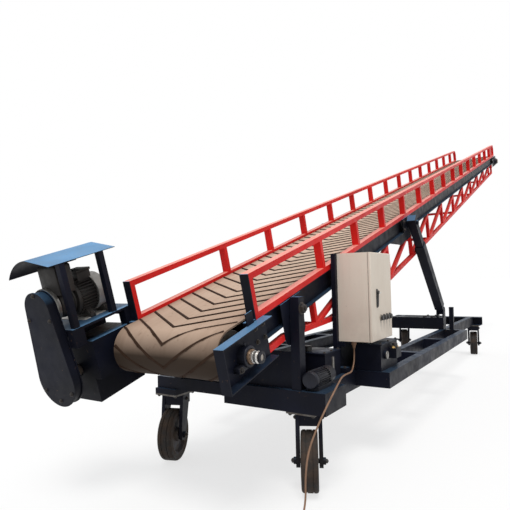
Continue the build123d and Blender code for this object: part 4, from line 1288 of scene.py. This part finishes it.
# %% Shade panel
# Painted shade: a dark sheet where the space under the cabinet is dark
shade_panel = slab((0.855, -0.386, 0.440), (1.214, -0.382, 0.664))
with editing(shade_panel):
    push_faces(facing(nearward), (0.030, 0.0))
    push_faces(facing(nearward, 0.01, x=1.0345), (0.003, -0.002))
settle(shade_panel, "shade_panel", "chassis", blue_paint)
print("post panel faces", len(shade_panel.data.polygons))

# %% [markdown]
# ## Oil tank and power pack fittings
#
# The lift legs are worked by a small hydraulic set. Its tank has a bolted lid, a filler cap with a grip
# and a sight glass; its pack has a gauge, a valve coil and two unions. They are drums and blocks with
# bevelled or inset faces.

# %% Tank lid and caps
lid_top, pack_top = 0.650, 0.664
tank_lid = sheet((0.594, -0.426, 0.6435), (0.816, -0.214, lid_top), upward, (0.010, 3), (0.0015, 2))
settle(tank_lid, "tank_lid", "chassis", blue_paint)
cap = drum((0.655, -0.290, 0.664), radius=0.025, depth=0.028, axis="Z", corners=24)
with editing(cap):
    push_faces(lambda at, normal: abs(normal.z) < 0.1, (0.0012, -0.0015))
    push_faces(facing(upward), (0.004, 0.003))
coil = turned((1.168, -0.6335, 0.6375), 0.016, 0.028, upward, 28, (0.003, 2), (0.006, 0.002))
settle(joined([cap, coil]), "hydraulic_caps", "chassis", black_plastic)
print("tank lid faces", len(tank_lid.data.polygons))

# %% Sight glass, gauge, unions and lid bolts
glass_low, glass_high = (0.690, -0.4245, 0.535), (0.712, -0.4195, 0.620)
glass = sheet(glass_low, glass_high, nearward, (0.006, 3), None, (0.005, -0.002))
dial = turned((1.038, -0.6258, 0.594), 0.0235, 0.0045, nearward, 40, (0.001, 2), (0.003, -0.002))
settle(joined([glass, dial]), "hydraulic_gauges", "chassis", ring_grey)
unions = [((along, -0.633, 0.624), upward, 1.0, 12) for along in (1.134, 1.202)]
settle_bolts(unions, "hydraulic_unions", "chassis", brass)
places = [(along, aside, lid_top) for along, aside in product((0.612, 0.705, 0.798), (-0.412, -0.228))]
places += [(along, -0.604, pack_top) for along in (0.980, 1.128, 1.276)]
lid_bolts = [(place, upward, 0.7, 8) for place in places]
settle_bolts(lid_bolts, "hydraulic_lid_bolts", "chassis")
print("hydraulic fittings set")

# %% [markdown]
# ## Pivot plates and leg plates
#
# The boom tilts on two pins. Where each pin passes, a plate stiffens the open side of the beam and
# hangs down over the truss. It is cut from flat sheet, so it is a thin block with its lower corners
# taken off, and a cylinder cuts the clearance hole for the pin. Where the lift legs push, a longer
# plate under the beam spreads their load; its lower edge is drawn in at both ends.

# %% Pivot plates
plate_out = 0.3642
pivot_plates = []
for side in (-1, 1):
    low, high = sorted((side * 0.3612, side * plate_out))
    plate = slab((0.223, low, -0.232), (0.449, high, -0.006))
    with editing(plate):
        round_edges(lambda at, way: abs(way.y) > 0.9 and at.z < -0.2, 0.045, 4)
    cutter = drum((0.336, side * 0.3627, -0.060), radius=0.0265, depth=0.030, axis="Y", corners=40)
    modified(plate, "BOOLEAN", operation="DIFFERENCE", object=cutter)
    discard(cutter)
    pivot_plates.append(plate)
settle(joined(pivot_plates), "pivot_plates", "boom", blue_paint)
print("pivot plates", len(pivot_plates))

# %% Leg plates
plate_from, plate_to = 2.068, 2.740
leg_plates = []
for side in (-1, 1):
    low, high = sorted((side * 0.3606, side * plate_out))
    plate = slab((plate_from, low, -0.196), (plate_to, high, -0.1203))
    low_corner = lambda at, way: abs(way.y) > 0.9 and at.z < -0.19
    with editing(plate):
        pick("EDGE", lambda at, way: low_corner(at, way) and at.x < plate_from + 0.002)
        bpy.ops.transform.translate(value=(0.280, 0, 0))
        pick("EDGE", lambda at, way: low_corner(at, way) and at.x > plate_to - 0.04)
        bpy.ops.transform.translate(value=(-0.070, 0, 0))
        round_edges(low_corner, 0.020, 4)
    leg_plates.append(plate)
settle(joined(leg_plates), "leg_plates", "boom", blue_paint)
print("leg plates", len(leg_plates))

# %% [markdown]
# ## Fasteners on the boom and the chassis
#
# Plates are bolted where pieces are meant to come apart: the leg brackets, the tail and head plates,
# the chain guard, the motor feet, the cabinet posts and the clamped sleeves of the chassis. The boom
# hangs on two pins, each with a big washer and nut outside its post.

# %% Boom bolts
beam_rows = (
    ((2.489, 2.739), (-0.025, -0.095), 1.1, 7),
    ((8.900, 9.000, 9.090), (-0.030, -0.160), 1.0, 11),
    ((-0.030, 0.035), (-0.030, -0.095), 1.0, 4),
)
guard_face = -0.480
guard_holes = (
    (0.521, -0.262), (0.424, -0.215), (0.618, -0.215), (0.443, 0.150), (0.599, 0.150), (0.521, 0.270)
)
holes = []
for side in (-1, 1):
    for stations, depths, size, twist in beam_rows:
        for along, depth in product(stations, depths):
            holes.append(((along, side * beam_face, depth), (0, side, 0), size, twist))
for along, aside in product((-0.246, -0.146), (0.441, 0.601)):
    holes.append(((along, aside, motor_foot_top), upward, 1.0, 15))
holes += [((guard_face, aside, depth), tailward, 0.8, 20) for aside, depth in guard_holes]
settle_bolts(holes, "boom_bolts", "boom")
print("boom bolts", len(holes))

# %% Chassis bolts
pin_x, pin_z, post_side = 0.3398, 0.9146, 0.417
sleeve_front, sleeve_rear, sleeve_top = 0.400, 5.211, 0.504
holes = [((pin_x, side * post_side, pin_z), (0, side, 0), 2.4, 9) for side in (-1, 1)]
holes += [((along, -0.433, 0.534), upward, 0.8, 6) for along in (0.846, 1.224)]
for aside in (-0.12, -0.02):
    holes.append(((sleeve_front, aside, sleeve_top), upward, 1.3, 10))
    holes.append(((sleeve_rear, -aside, sleeve_top), upward, 1.3, 10))
for along, side, aside in product((3.468, 3.552), (-1, 1), (0.330, 0.250)):
    holes.append(((along, side * aside, 0.624), upward, 1.0, 14))
settle_bolts(holes, "chassis_bolts", "chassis")
discard(bolt)
print("fasteners on", piece_count)
